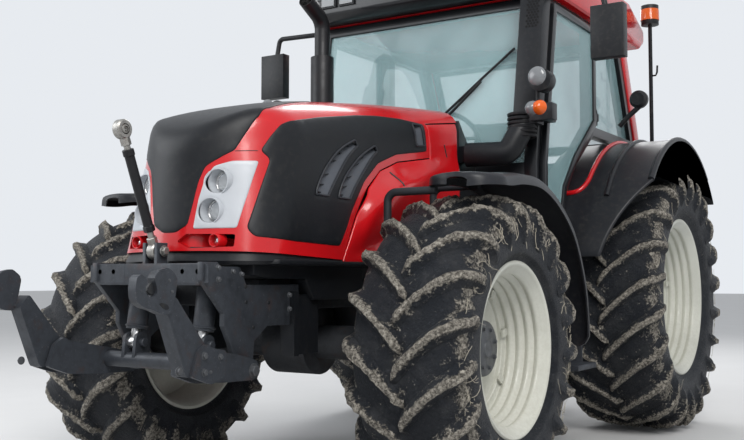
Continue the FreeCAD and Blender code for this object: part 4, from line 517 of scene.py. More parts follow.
def evaluated(thing):
    """The object's mesh with its modifiers, as a plain mesh."""
    bpy.context.view_layer.update()
    graph = bpy.context.evaluated_depsgraph_get()
    mesh = bpy.data.meshes.new_from_object(thing.evaluated_get(graph), depsgraph=graph)
    thing.modifiers.clear()
    return mesh


def dressed(node, bevel=0.004, segments=2, angle=30, name=None, finish=None, body=None,
            keep=None):
    """A copy of a solid's surface: merged, planes joined, edges rounded. It stands for it."""
    solid = frame["nodes"][node]
    bm = bmesh.new()
    bm.from_mesh(solid.data)
    bmesh.ops.remove_doubles(bm, verts=bm.verts, dist=0.00005)
    bmesh.ops.dissolve_limit(bm, angle_limit=math.radians(1.2), verts=bm.verts,
                             edges=bm.edges)
    if keep:
        gone = [v for v in bm.verts if not keep(v.co)]
        bmesh.ops.delete(bm, geom=gone, context="VERTS")
    mesh = bpy.data.meshes.new(node + "_skin")
    bm.to_mesh(mesh)
    bm.free()
    thing = bpy.data.objects.new(name or node + "_skin", mesh)
    bpy.context.scene.collection.objects.link(thing)
    if bevel:
        tool = thing.modifiers.new("rounding", "BEVEL")
        tool.width = bevel
        tool.segments = segments
        tool.limit_method = "ANGLE"
        tool.angle_limit = math.radians(angle)
        tool.use_clamp_overlap = True
        thing.data = evaluated(thing)
    smooth_by_angle(thing.data, angle)
    finish = finish or solid.data.materials[0].name.split(".")[0]
    body = body or body_of(solid)[0]
    return piece(thing.name, thing, finish, body, stands_for=(node,))


def smooth_by_angle(mesh, angle):
    bm = bmesh.new()
    bm.from_mesh(mesh)
    for face in bm.faces:
        face.smooth = True
    for edge in bm.edges:
        edge.smooth = not edge.is_manifold or edge.calc_face_angle(0) < math.radians(angle)
    bm.to_mesh(mesh)
    bm.free()


# Repeats, made with Geometry Nodes

def new_tree(name, inputs):
    """An empty geometry tree with named inputs and one output."""
    tree = bpy.data.node_groups.new(name, "GeometryNodeTree")
    tree.interface.new_socket("Geometry", in_out="OUTPUT", socket_type="NodeSocketGeometry")
    for label, kind, default in inputs:
        socket = tree.interface.new_socket(label, in_out="INPUT", socket_type=kind)
        if default is not None:
            socket.default_value = default
    return tree


def ring_tree():
    """Repeats a pattern round an axle along x."""
    tree = new_tree("Repeat round an axle", (
        ("Pattern", "NodeSocketObject", None), ("Count", "NodeSocketInt", 8),
        ("First turn", "NodeSocketFloat", 0.0), ("Size change", "NodeSocketFloat", 0.0),
        ("Seed", "NodeSocketInt", 7), ("Axle", "NodeSocketVector", (0, 0, 0)),
        ("Finish", "NodeSocketMaterial", None)))
    add, join = tree.nodes.new, tree.links.new
    given, out = add("NodeGroupInput").outputs, add("NodeGroupOutput")
    points = add("GeometryNodePoints")
    join(given["Count"], points.inputs["Count"])
    join(given["Axle"], points.inputs["Position"])
    index = add("GeometryNodeInputIndex")
    share = add("ShaderNodeMath")
    share.operation = "DIVIDE"
    join(index.outputs[0], share.inputs[0])
    join(given["Count"], share.inputs[1])
    turn = add("ShaderNodeMath")
    turn.operation = "MULTIPLY_ADD"
    join(share.outputs[0], turn.inputs[0])
    turn.inputs[1].default_value = 2 * math.pi
    join(given["First turn"], turn.inputs[2])
    angles = add("ShaderNodeCombineXYZ")
    join(turn.outputs[0], angles.inputs["X"])
    smallest = add("ShaderNodeMath")
    smallest.operation = "SUBTRACT"
    smallest.inputs[0].default_value = 1.0
    join(given["Size change"], smallest.inputs[1])
    chance = add("FunctionNodeRandomValue")
    chance.data_type = "FLOAT"
    low, high = [s for s in chance.inputs if s.type == "VALUE"][:2]
    join(smallest.outputs[0], low)
    high.default_value = 1.0
    join(given["Seed"], chance.inputs["Seed"])
    size = [s for s in chance.outputs if s.type == "VALUE"][0]
    pattern = add("GeometryNodeObjectInfo")
    join(given["Pattern"], pattern.inputs["Object"])
    place = add("GeometryNodeInstanceOnPoints")
    join(points.outputs[0], place.inputs["Points"])
    join(pattern.outputs["Geometry"], place.inputs["Instance"])
    join(angles.outputs[0], place.inputs["Rotation"])
    join(size, place.inputs["Scale"])
    real = add("GeometryNodeRealizeInstances")
    join(place.outputs[0], real.inputs[0])
    coat = add("GeometryNodeSetMaterial")
    join(real.outputs[0], coat.inputs["Geometry"])
    join(given["Finish"], coat.inputs["Material"])
    join(coat.outputs[0], out.inputs[0])
    return tree


def row_tree():
    """Repeats a pattern along a straight row."""
    tree = new_tree("Repeat along a row", (
        ("Pattern", "NodeSocketObject", None), ("Count", "NodeSocketInt", 8),
        ("Start", "NodeSocketVector", (0, 0, 0)), ("Step", "NodeSocketVector", (0, 0, 0.1)),
        ("Finish", "NodeSocketMaterial", None)))
    add, join = tree.nodes.new, tree.links.new
    given, out = add("NodeGroupInput").outputs, add("NodeGroupOutput")
    line = add("GeometryNodeMeshLine")
    line.mode = "OFFSET"
    join(given["Count"], line.inputs["Count"])
    join(given["Start"], line.inputs["Start Location"])
    join(given["Step"], line.inputs["Offset"])
    pattern = add("GeometryNodeObjectInfo")
    join(given["Pattern"], pattern.inputs["Object"])
    place = add("GeometryNodeInstanceOnPoints")
    join(line.outputs[0], place.inputs["Points"])
    join(pattern.outputs["Geometry"], place.inputs["Instance"])
    real = add("GeometryNodeRealizeInstances")
    join(place.outputs[0], real.inputs[0])
    coat = add("GeometryNodeSetMaterial")
    join(real.outputs[0], coat.inputs["Geometry"])
    join(given["Finish"], coat.inputs["Material"])
    join(coat.outputs[0], out.inputs[0])
    return tree


trees = {}


def repeated(kind, pattern, finish, **values):
    """Runs a tree on a pattern mesh and gives the plain mesh."""
    if kind not in trees:
        trees[kind] = {"ring": ring_tree, "row": row_tree}[kind]()
    tree = trees[kind]
    source = bpy.data.objects.new("pattern", pattern)
    carrier = bpy.data.objects.new("carrier", bpy.data.meshes.new("carrier"))
    for thing in (source, carrier):
        bpy.context.scene.collection.objects.link(thing)
    tool = carrier.modifiers.new("repeat", "NODES")
    tool.node_group = tree
    sockets = {item.name: item.identifier for item in tree.interface.items_tree
               if item.item_type == "SOCKET" and item.in_out == "INPUT"}
    tool[sockets["Pattern"]] = source
    tool[sockets["Finish"]] = finishes[finish]
    for name, value in values.items():
        tool[sockets[name.replace("_", " ").capitalize()]] = value
    mesh = evaluated(carrier)
    bpy.data.objects.remove(carrier)
    bpy.data.objects.remove(source)
    return mesh


# Tyres and rims

def tagged(mesh, values):
    """Gives each point of a mesh its own mud value."""
    layer = mesh.attributes.new("mud", "FLOAT", "POINT")
    layer.data.foreach_set("value", values)
    return mesh


def lug_shape(profile, outer, turn, half_base, half_top, tall, wall_end):
    """One tread bar: from just over the middle to the shoulder, then down the wall.

    profile gives (side, radius, outward side, outward radius) for a share 0..1 of the path
    from the tread's middle to the rim; turn gives how far the bar has swept back there.
    """
    rings = []
    mud = []
    steps = 34
    start = -0.045
    for step in range(steps + 1):
        share = start + (wall_end - start) * step / steps
        side, radius, out_side, out_radius = profile(abs(share))
        if share < 0:
            side, out_side = -side, -out_side
        drop = max(0.0, (share - 0.56) / (wall_end - 0.56))
        high = tall * (1 - 0.78 * drop) + 0.003
        if out_radius > 0.3:
            high = min(high, (outer - 0.0015 - radius) / out_radius)
        end = min(1.0, ((step + 0.45) / 2.4) ** 0.6, ((steps - step + 0.3) / 3.2) ** 0.5)
        base = half_base * (1 - 0.12 * drop)
        top = half_top * (1 + 0.15 * math.exp(-share * 14) + 0.18 * drop)
        ring = []
        for across, rise in ((-1.0, -0.12), (-0.90, 0.16), (-0.80, 0.42), (-0.70, 0.80),
                             (-0.60, 0.95), (-0.25, 1.0), (0.25, 1.0), (0.60, 0.95),
                             (0.70, 0.80), (0.80, 0.42), (0.90, 0.16), (1.0, -0.12)):
            reach = base + (top / 0.60 - base) * min(1.0, max(0.0, rise) * 1.4)
            up = high * rise * (end if rise > 0 else 1)
            r = radius + out_radius * up
            angle = turn(share) + across * reach * (0.35 + 0.65 * end) / max(r, 0.1)
            ring.append((side + out_side * up, r * math.cos(angle), r * math.sin(angle)))
            cling = 1.0 if rise > 0.9 else 0.55 if rise > 0.7 else 0.22
            mud.append(cling * (1 - 0.85 * min(1.0, drop * 1.3)) + 0.10)
        rings.append(ring)
    return tagged(loft(rings, smooth=50), mud)


def crumbled(mesh, axle, amount, seed):
    """Pushes the muddy points out and in a little, so that no lug repeats another."""
    layer = mesh.attributes["mud"].data
    shift = Vector((seed * 3.7, 0, 0))
    for point, value in zip(mesh.vertices, layer):
        if value.value > 0.35:
            rough = noise.fractal(point.co * 42 + shift, 0.8, 2.1, 3)
            radial = Vector((0, point.co.y, point.co.z)).normalized()
            across = noise.noise(point.co * 55 - shift)
            point.co += radial * (rough - 0.35) * amount * value.value
            point.co.x += across * amount * 0.5 * value.value
    return mesh


def tyre_mesh(half, outer, bead_half, bead, lugs, tall, seed, finish):
    """A tractor tyre about the x axis, lugs and walls in one mesh."""
    crown = outer - tall
    path = curve_points((
        (0, crown + 0.002, 0), (half * 0.35, crown, 0), (half * 0.66, crown - 0.012, 0),
        (half * 0.84, crown - 0.036, 0), (half * 0.925, crown - 0.080, 0),
        (half * 0.965, outer - 0.175, 0), (half * 0.975, outer - 0.215, 0),
        (half * 0.955, (outer - 0.215 + bead) / 2, 0), (bead_half * 1.04, bead + 0.030, 0),
        (bead_half, bead + 0.006, 0)), 5)
    lengths = [0.0]
    for a, b in zip(path, path[1:]):
        lengths.append(lengths[-1] + (b - a).length)
    whole = lengths[-1]

    def profile(share):
        want = min(max(share, 0), 1) * whole
        i = 0
        while i < len(path) - 2 and lengths[i + 1] < want:
            i += 1
        t = (want - lengths[i]) / max(lengths[i + 1] - lengths[i], 1e-9)
        p = path[i].lerp(path[i + 1], t)
        way = (path[i + 1] - path[i]).normalized()
        return p.x, p.y, -way.y, way.x

    def turn(share):
        reach = min(max(share, -0.05), 0.66)
        return -(0.205 / outer) * (1.62 * reach - 0.72 * reach * reach) / 0.62 * half / 0.27

    lug = lug_shape(profile, outer, turn, 0.052, 0.0165, tall, 0.80)
    other = mirrored(lug)
    zero = Vector((0, 0, 0))
    quarter = math.pi / 2
    left = repeated("ring", lug, finish, count=lugs, size_change=0.004, seed=seed, axle=zero,
                    first_turn=quarter)
    right = repeated("ring", other, finish, count=lugs, size_change=0.004, seed=seed + 1,
                     first_turn=quarter + math.pi / lugs, axle=zero)
    outline = [(p.x, p.y) for p in path]
    inside = [(bead_half - 0.02, bead), (-bead_half + 0.02, bead)]
    whole_profile = outline + inside + [(-x, r) for x, r in reversed(outline[1:])]
    steps = 152
    carcass = lathe(whole_profile, zero, steps)
    ring = []
    for x, r in whole_profile:
        shoulder = math.exp(-((r - (outer - 0.125)) / 0.045) ** 2)
        ring.append(0.12 + 0.62 * shoulder + 0.20 * math.exp(-(x / 0.04) ** 2))
    tagged(carcass, ring * steps)
    return crumbled(joined((carcass, left, right)), zero, 0.010, seed)


def strands(half, outer, count, seed):
    """Straw and roots that cling to the outer shoulder and wall, about the x axis."""
    chance = random.Random(seed)
    made = []
    for _ in range(count):
        angle = chance.uniform(0, 2 * math.pi)
        radius = outer - 0.085 - abs(chance.gauss(0, 0.055))
        turn = chance.uniform(-1.4, 1.4) + math.pi / 2
        length = chance.uniform(0.03, 0.12)
        bend = chance.uniform(-24, 24)
        points = []
        for step in range(6):
            way = turn + bend * step * length / 6
            angle += math.cos(way) * length / 6 / radius
            radius = min(outer - 0.06, radius - math.sin(way) * length / 6)
            drop = max(0.0, radius - (outer - 0.20)) / 0.14
            side = half * (0.985 - 0.085 * drop ** 1.6) + 0.002 + chance.uniform(0, 0.004)
            points.append((side, radius * math.cos(angle), radius * math.sin(angle)))
        made.append(tube(points, chance.uniform(0.0007, 0.0015), 4))
    return joined(made)


def rim_mesh(waves, bead, half, face, hub):
    """The turned, waved rim with its ring and disc; face is the disc's side, out is +x."""
    inner = bead - 0.024
    outline = [(half - 0.004, bead + 0.014), (half + 0.005, bead + 0.013),
               (half + 0.010, bead + 0.006), (half + 0.009, bead - 0.003),
               (half + 0.003, bead - 0.010), (half - 0.006, bead - 0.016)]
    depth = half - face - 0.040
    points = waves * 10
    for step in range(points + 1):
        share = step / points
        swell = 0.5 - 0.5 * math.cos(2 * math.pi * waves * share)
        outline.append((half - 0.014 - depth * share, inner - 0.004 - 0.040 * share
                        - 0.012 * swell ** 0.7))
    low = inner - 0.046
    outline += [(face + 0.022, low - 0.002), (face + 0.020, low - 0.006),
                (face + 0.020, low - 0.030), (face + 0.015, low - 0.034),
                (face + 0.001, low - 0.034), (face - 0.003, low - 0.040),
                (face - 0.002, (low + hub) * 0.52), (face + 0.006, hub + 0.060),
                (face + 0.010, hub + 0.030), (face + 0.008, hub)]
    back = [(face - 0.012, hub), (face - 0.020, low - 0.04), (face - 0.02, low + 0.02),
            (-half + 0.02, inner - 0.004), (-half - 0.004, bead - 0.006),
            (-half - 0.006, bead + 0.008), (-half + 0.006, bead + 0.010),
            (-half + 0.012, bead), (half - 0.012, bead)]
    return lathe(outline + back, Vector((0, 0, 0)), 128, smooth=38)


def bolt(size, tall, sides=6):
    """A bolt head standing along x, with its washer."""
    def ring(x, r, count, turn=0.0):
        return [(x, r * math.cos(2 * math.pi * k / count + turn),
                 r * math.sin(2 * math.pi * k / count + turn)) for k in range(count)]

    washer = loft([ring(x, r, 16) for x, r in ((0, size * 1.3), (tall * 0.2, size * 1.3),
                                               (tall * 0.22, size * 1.2))])
    head = loft([ring(x, r, sides) for x, r in ((tall * 0.2, size), (tall * 0.9, size),
                                                (tall, size * 0.85))], smooth=20)
    return joined((washer, head))


def hub_mesh(face, radius, reach):
    """The planetary hub that stands through the disc, with its ring of bolts."""
    drum = lathe(((face, radius), (face + reach * 0.70, radius), (face + reach * 0.80,
                  radius * 0.975), (face + reach * 0.86, radius * 0.90),
                  (face + reach * 0.88, radius * 0.40), (face + reach * 0.92, radius * 0.34),
                  (face + reach, radius * 0.30), (face + reach, 0.0001), (face, 0.0001)),
                 Vector((0, 0, 0)), 64, smooth=30)
    head = moved(bolt(0.008, 0.010), Matrix.Translation((face + reach * 0.87, radius * 0.72,
                                                         0)))
    ring = repeated("ring", head, "cast_dark", count=8, axle=Vector((0, 0, 0)),
                    first_turn=0.3)
    return joined((drum, ring))


def wheel(name, axle, half_track, tyre, rim, bolts, hub):
    """Both wheels of an axle, the right one a mirror of the left."""
    half, outer, bead_half, bead, lugs, tall, seed = tyre
    waves, rim_half, face, bore = rim
    rubber = name + "_tyre"
    zero = Vector((0, 0, 0))
    move = Matrix.Translation((half_track, axle.y, axle.z))
    count, size, circle = bolts
    nut = moved(bolt(size, size * 1.5), Matrix.Translation((face + 0.008, circle, 0)))
    tab = moved(slab(((0, -0.030, -0.016), (0, -0.030, 0.016), (0, 0.0, 0.020),
                      (0, 0.026, 0.011), (0, 0.026, -0.011), (0, 0.0, -0.020)), 0.008, 0.002),
                Matrix.Translation((face + 0.028, bead - 0.090, 0)))
    stud = moved(bolt(0.009, 0.012), Matrix.Translation((face + 0.027, bead - 0.083, 0)))
    turned = repeated("ring", tab, "rim_cream", count=8, axle=zero, first_turn=0.2)
    studs = repeated("ring", stud, "rim_cream", count=8, axle=zero, first_turn=0.2)
    metal_rim = joined((rim_mesh(waves, bead, rim_half, face, bore), turned, studs))
    made = (
        ("_lugged_tyre_", tyre_mesh(*tyre, rubber), rubber, "tyre_rubber", "_tyre_"),
        ("_waved_rim_", metal_rim, "rim_cream", "rim_cream", "_rim_"),
        ("_wheel_nuts_", repeated("ring", nut, "rim_cream", count=count, axle=zero),
         "rim_cream", "rim_cream", None),
        ("_hub_", hub_mesh(*hub), "hub_grey", "cast_dark", None),
        ("_straw_", strands(half, outer, 150, seed), "straw", "tyre_rubber", None))
    for label, mesh, coat, slot, solid in made:
        moved(mesh, move)
        for side in ("left", "right"):
            copy = mirrored(mesh) if side == "right" else mesh.copy()
            piece(name + label + side, copy, coat, f"{name}_wheel_{side}",
                  (name + solid + side,) if solid else ())


class TRACTOR_OT_wheels(bpy.types.Operator):
    """Makes the four lugged tyres, stepped rims, nuts and hubs"""
    bl_idname = "tractor.wheels"
    bl_label = "Wheels"

    def execute(self, context):
        sizes = context.scene.tractor_sizes
        wheel("front", FRONT_AXLE, 0.94,
              (0.27, 0.69, 0.225, 0.378, sizes.front_lugs, sizes.lug_height, 11),
              (4, 0.225, 0.012, 0.128), (10, 0.011, 0.172), (0.01, 0.125, 0.085))
        wheel("rear", REAR_AXLE, 0.925,
              (0.325, 0.88, 0.265, 0.505, sizes.rear_lugs, sizes.lug_height + 0.006, 23),
              (4, 0.265, 0.032, 0.128), (12, 0.014, 0.182), (0.03, 0.125, 0.095))
        return {"FINISHED"}


# The hood's smooth surface, with places measured back from the front axle

NOSE, HOOD_END = -0.95, 0.93


def smooth_max(first, second, blend):
    share = max(blend - abs(first - second), 0) / blend
    return max(first, second) + share * share * blend * 0.25


def hood_field(x, back, z):
    """Below zero inside the hood: its cross-section, the nose's plan and the brow."""
    x = abs(x)
    share = (back + 0.99) / 1.92
    top, side, drop = 1.766 + 0.258 * share, 0.396 + 0.022 * share, 0.22 - 0.016 * share
    level = top - drop
    if z <= level:
        body = x - side - (0.424 - side) * (level - z) / (level - 0.95)
    else:
        body = (((x / side) ** 2.9 + ((z - level) / drop) ** 1.9) ** 0.42 - 1) * 0.26
    r = min(x / 0.45, 1.4)
    low = 0.0588 * r * r + 0.271 * r ** 10
    high = 0.05 + 0.58 * r * r + 0.10 * r ** 10
    front = NOSE + low + (high - low) * (z - 0.95) / 1.15 - back
    reach = max(back - NOSE, 0)
    brow = (z - (1.50 + 0.5608 * math.sqrt(reach) - 0.160 * reach)) * 0.8
    return smooth_max(smooth_max(body, brow, 0.05), front, 0.05)


def hood_hit(start, way, far=1.3):
    """Where a line from inside meets the hood's surface, and the surface's normal there."""
    near = 0.0
    for _ in range(22):
        middle = (near + far) / 2
        if hood_field(*(start + way * middle)) < 0:
            near = middle
        else:
            far = middle
    spot = start + way * near
    step = 0.002
    base = hood_field(*spot)
    normal = Vector([hood_field(*(spot + Vector(axis) * step)) - base
                     for axis in ((1, 0, 0), (0, 1, 0), (0, 0, 1))]).normalized()
    return Vector((spot.x, along(spot.y), spot.z)), normal


def from_side(back, z):
    return hood_hit(Vector((0, back, z)), Vector((1, 0, 0)))


def from_front(x, z):
    return hood_hit(Vector((x, -0.2, z)), Vector((0, -1, 0)))


def over_nose(x, turned):
    angle = turned / 0.6
    return hood_hit(Vector((x, -0.35, 1.30)), Vector((0, -math.cos(angle), math.sin(angle))))


def nose_places(places):
    """Turns (x, back, z) places into the nose's own two coordinates."""
    return [(x, 0.6 * math.atan2(z - 1.30, -(back + 0.35))) for x, back, z in places]


def rounded(outline, radius, steps=5):
    """An outline with its corners rounded by the radius."""
    made = []
    count = len(outline)
    for i in range(count):
        before, here, after = (Vector(outline[(i + k) % count]) for k in (-1, 0, 1))
        cut_in = min(radius, (before - here).length * 0.45)
        cut_out = min(radius, (after - here).length * 0.45)
        start = here + (before - here).normalized() * cut_in
        end = here + (after - here).normalized() * cut_out
        for step in range(steps + 1):
            share = step / steps
            made.append(tuple(start * (1 - share) ** 2 + here * 2 * share * (1 - share)
                              + end * share ** 2))
    return made


def spaced(outline, pitch):
    """The outline with points at most a pitch apart."""
    made = []
    for a, b in zip(outline, outline[1:] + outline[:1]):
        a, b = Vector(a), Vector(b)
        count = max(1, math.ceil((b - a).length / pitch))
        made += [a.lerp(b, step / count) for step in range(count)]
    return [p for i, p in enumerate(made) if (p - made[i - 1]).length > 1e-5]


def inset(outline, distance):
    """The outline moved inwards, whichever way it runs round."""
    count = len(outline)
    area = sum(a.x * b.y - b.x * a.y for a, b in zip(outline, outline[1:] + outline[:1]))
    turn = 1 if area > 0 else -1
    made = []
    for i in range(count):
        before, here, after = (outline[(i + k) % count] for k in (-1, 0, 1))
        way = ((here - before).normalized() + (after - here).normalized()).normalized()
        made.append(here + Vector((-way.y, way.x)) * distance * turn)
    return made


def holds(outline, place):
    odd = False
    for a, b in zip(outline, outline[1:] + outline[:1]):
        if (a.y > place.y) != (b.y > place.y):
            if place.x < (b.x - a.x) * (place.y - a.y) / (b.y - a.y) + a.x:
                odd = not odd
    return odd


def skin_panel(outline, surface, proud, wall=0.010, pitch=0.022, roll=0.005, holes=(),
               depth=None):
    """A panel on a surface: outline and holes in the surface's coordinates, edges rolled."""
    edges = [spaced(outline, pitch)] + [spaced(hole, pitch * 0.7) for hole in holes]
    inner = [inset(edges[0], roll)] + [inset(edge, -roll) for edge in edges[1:]]
    points = [p for edge in inner for p in edge]
    links = []
    start = 0
    for edge in inner:
        count = len(edge)
        links += [(start + i, start + (i + 1) % count) for i in range(count)]
        start += count
    xs, ys = [p.x for p in inner[0]], [p.y for p in inner[0]]
    tight = inset(inner[0], pitch * 0.45)
    loose = [inset(edge, -pitch * 0.45) for edge in inner[1:]]
    row = 0
    y = min(ys)
    while y < max(ys):
        x = min(xs) + (row % 2) * pitch / 2
        while x < max(xs):
            place = Vector((x, y))
            if holds(tight, place) and not any(holds(edge, place) for edge in loose):
                points.append(place)
            x += pitch
        y += pitch * 0.87
        row += 1
    made, _, faces, _, _, _ = delaunay_2d_cdt(points, links, [], 0, 1e-6)

    def level(place, height):
        spot, normal = surface(place.x, place.y)
        return spot + normal * (height - (depth(place.x, place.y) if depth else 0))

    bm = bmesh.new()
    top = [bm.verts.new(level(p, proud)) for p in made]
    low = [bm.verts.new(level(p, proud - wall)) for p in made]
    for face in faces:
        middle = sum((made[i] for i in face), Vector((0, 0))) / len(face)
        if holds(inner[0], middle) and not any(holds(edge, middle) for edge in inner[1:]):
            bm.faces.new([top[i] for i in face])
            bm.faces.new([low[i] for i in reversed(face)])
    lookup = {(round(p.x, 5), round(p.y, 5)): i for i, p in enumerate(made)}
    for edge, near in zip(edges, inner):
        ring = [lookup.get((round(p.x, 5), round(p.y, 5))) for p in near]
        if None in ring:
            continue
        between = [a.lerp(b, 0.3) for a, b in zip(edge, near)]
        loops = [[top[i] for i in ring],
                 [bm.verts.new(level(p, proud - roll * 0.25)) for p in between],
                 [bm.verts.new(level(p, proud - roll)) for p in edge],
                 [bm.verts.new(level(p, proud - wall)) for p in edge],
                 [low[i] for i in ring]]
        for first, second in zip(loops, loops[1:]):
            for i in range(len(first)):
                j = (i + 1) % len(first)
                bm.faces.new((first[i], first[j], second[j], second[i]))
    loose_points = [v for v in bm.verts if not v.link_faces]
    bmesh.ops.delete(bm, geom=loose_points, context="VERTS")
    return to_mesh(bm, smooth=50)


def surface_line(places, surface, radius, height=0.0, closed=False, flat=1.0):
    """A bead that follows a surface."""
    line = []
    for place in places:
        spot, normal = surface(*place)
        line.append(spot + normal * height)
    return tube(line, radius, 10, closed)


def prism(outline, low, high, axis, distance=0.0):
    """A straight block over an outline, for cutting; the outline lies across the axis."""
    corners = inset(spaced(outline, 0.05), distance)

    def ring(depth):
        if axis == "x":
            return [(depth, along(p.x), p.y) for p in corners]
        return [(p.x, along(depth), p.y) for p in corners]

    return loft((ring(low), ring(high)))


def carved(mesh, cutters):
    """The mesh with closed cutters taken out of it, one after the other."""
    for cutter_mesh in cutters:
        thing = bpy.data.objects.new("carving", mesh)
        cutter = bpy.data.objects.new("cutter", cutter_mesh)
        for item in (thing, cutter):
            bpy.context.scene.collection.objects.link(item)
        tool = thing.modifiers.new("cut", "BOOLEAN")
        tool.operation = "DIFFERENCE"
        tool.solver = "EXACT"
        tool.object = cutter
        mesh = evaluated(thing)
        bpy.data.objects.remove(thing)
        bpy.data.objects.remove(cutter)
        if not mesh.polygons:
            raise RuntimeError("a cut left nothing of the mesh")
    return mesh


def hood_skin(low_edge):
    """The hood's whole wall: a nose fanned out from one centre, then cross-sections."""
    turns, caps, spans = 112, 26, 34
    centre = Vector((0, -0.35, 1.30))
    wall = 0.009
    layers = []
    for depth in (0.0, wall):
        rows = []
        for step in range(1, caps + spans + 1):
            ring = []
            for k in range(turns):
                turn = 2 * math.pi * k / turns
                side, up = math.sin(turn), math.cos(turn)
                if step <= caps:
                    angle = math.pi / 2 * step / caps
                    start = centre
                    way = Vector((side * math.sin(angle), -math.cos(angle),
                                  up * math.sin(angle)))
                else:
                    back = -0.35 + (HOOD_END + 0.35) * (step - caps) / spans
                    start = Vector((0, back, 1.30))
                    way = Vector((side, 0, up))
                spot, normal = hood_hit(start, way)
                ring.append(spot - normal * depth)
            rows.append(ring)
        tip, normal = hood_hit(centre, Vector((0, -1, 0)))
        layers.append((rows, tip - normal * depth))
    bm = bmesh.new()
    ends = []
    for rows, tip in layers:
        made = [[bm.verts.new(p) for p in ring] for ring in rows]
        point = bm.verts.new(tip)
        for k in range(turns):
            bm.faces.new((point, made[0][k], made[0][(k + 1) % turns]))
        for first, second in zip(made, made[1:]):
            for k in range(turns):
                j = (k + 1) % turns
                bm.faces.new((first[k], second[k], second[j], first[j]))
        ends.append(made[-1])
    for k in range(turns):
        j = (k + 1) % turns
        bm.faces.new((ends[0][k], ends[0][j], ends[1][j], ends[1][k]))
    for place, way in low_edge:
        cut = bmesh.ops.bisect_plane(bm, geom=bm.verts[:] + bm.edges[:] + bm.faces[:],
                                     plane_co=place, plane_no=way, clear_outer=True)
        rim = [e for e in cut["geom_cut"] if isinstance(e, bmesh.types.BMEdge)]
        bmesh.ops.triangle_fill(bm, edges=rim, use_beauty=True, use_dissolve=False)
    bmesh.ops.triangulate(bm, faces=bm.faces)
    return to_mesh(bm, smooth=50)


SIDE_PANEL = rounded((
    (-0.833, 1.211), (-0.815, 1.175), (-0.610, 1.160), (-0.272, 1.149), (-0.211, 1.236),
    (-0.170, 1.312), (-0.056, 1.463), (0.071, 1.564), (0.245, 1.626), (0.557, 1.676),
    (0.540, 1.821), (0.322, 1.823), (0.122, 1.811), (-0.061, 1.788), (-0.374, 1.734),
    (-0.598, 1.686), (-0.646, 1.665), (-0.696, 1.61), (-0.743, 1.542), (-0.710, 1.509),
    (-0.766, 1.378)), 0.020)
NOSE_PANEL_HALF = (
    (0.037, -0.938, 1.194), (0.095, -0.929, 1.226), (0.114, -0.919, 1.31),
    (0.133, -0.906, 1.406), (0.156, -0.89, 1.469), (0.204, -0.858, 1.503),
    (0.254, -0.814, 1.536), (0.266, -0.798, 1.569), (0.290, -0.758, 1.636),
    (0.307, -0.713, 1.69), (0.300, -0.642, 1.74), (0.232, -0.368, 1.815),
    (0.190, -0.20, 1.85), (0.150, -0.13, 1.86))
LAMP_PLATE = rounded(((0.121, 1.208), (0.300, 1.210), (0.317, 1.357), (0.331, 1.499),
                      (0.251, 1.496), (0.190, 1.474), (0.158, 1.42), (0.137, 1.329)), 0.012)
FOG_POCKET = rounded(((0.045, 1.157), (0.090, 1.188), (0.298, 1.185), (0.300, 1.133),
                      (0.105, 1.128)), 0.008)
COVER = rounded(((-0.248, 1.078), (-0.172, 1.222), (-0.132, 1.292), (-0.024, 1.434),
                 (0.092, 1.527), (0.255, 1.586), (0.590, 1.640), (0.577, 1.824),
                 (0.905, 1.872), (0.905, 1.078)), 0.006, 3)
COVER_GAP = ((-0.300, 0.98), (-0.254, 1.075), (-0.177, 1.225), (-0.137, 1.297),
             (-0.028, 1.440), (0.089, 1.533), (0.254, 1.592), (0.584, 1.645),
             (0.571, 1.830), (0.95, 1.886), (0.95, 0.98))
VENTS = (
    (((-0.450, 1.374), (-0.440, 1.41), (-0.375, 1.499), (-0.263, 1.595), (-0.135, 1.655)),
     ((-0.360, 1.370), (-0.325, 1.42), (-0.238, 1.523), (-0.175, 1.585), (-0.106, 1.634)), 6),
    (((-0.276, 1.371), (-0.266, 1.403), (-0.211, 1.482), (-0.091, 1.581), (0.040, 1.648)),
     ((-0.187, 1.366), (-0.136, 1.435), (-0.033, 1.543), (0.02, 1.593), (0.064, 1.624)), 6),
    (((0.420, 1.806), (0.424, 1.780), (0.430, 1.75), (0.437, 1.72), (0.443, 1.694)),
     ((0.508, 1.812), (0.512, 1.785), (0.518, 1.757), (0.526, 1.727), (0.532, 1.700)), 5),
)
LAMPS = ((0.190, 1.284, 0.051), (0.210, 1.408, 0.050))
FLARE = ((-0.24, 1.20, 1.14, 1.10, 0.0), (-0.12, 1.36, 1.22, 1.12, 0.02),
         (-0.05, 1.44, 1.33, 1.14, 0.060), (0.06, 1.515, 1.405, 1.17, 0.088),
         (0.20, 1.585, 1.45, 1.22, 0.090), (0.34, 1.615, 1.48, 1.27, 0.078),
         (0.50, 1.65, 1.53, 1.34, 0.052), (0.70, 1.68, 1.56, 1.36, 0.030),
         (0.92, 1.70, 1.56, 1.36, 0.020))


def flare_out(back, z):
    """How far the cover swells out past the hood's side there."""
    rows = FLARE
    i = max(k for k in range(len(rows) - 1) if k == 0 or rows[k][0] <= back)
    share = min(max((back - rows[i][0]) / (rows[i + 1][0] - rows[i][0]), 0), 1)
    top, ridge, low, reach = (
        0.5 * (2 * b + (c - a) * share + (2 * a - 5 * b + 4 * c - d) * share ** 2
               + (3 * b - a - 3 * c + d) * share ** 3)
        for a, b, c, d in zip(rows[max(i - 1, 0)][1:], rows[i][1:], rows[i + 1][1:],
                              rows[min(i + 2, len(rows) - 1)][1:]))
    reach = max(reach, 0)
    if z > ridge:
        rise = min((z - ridge) / (top - ridge), 1)
        return reach * (0.5 + 0.5 * math.cos(math.pi * rise))
    fall = min((ridge - z) / (ridge - low), 1)
    return reach * (1 - fall ** 1.4) ** 1.2


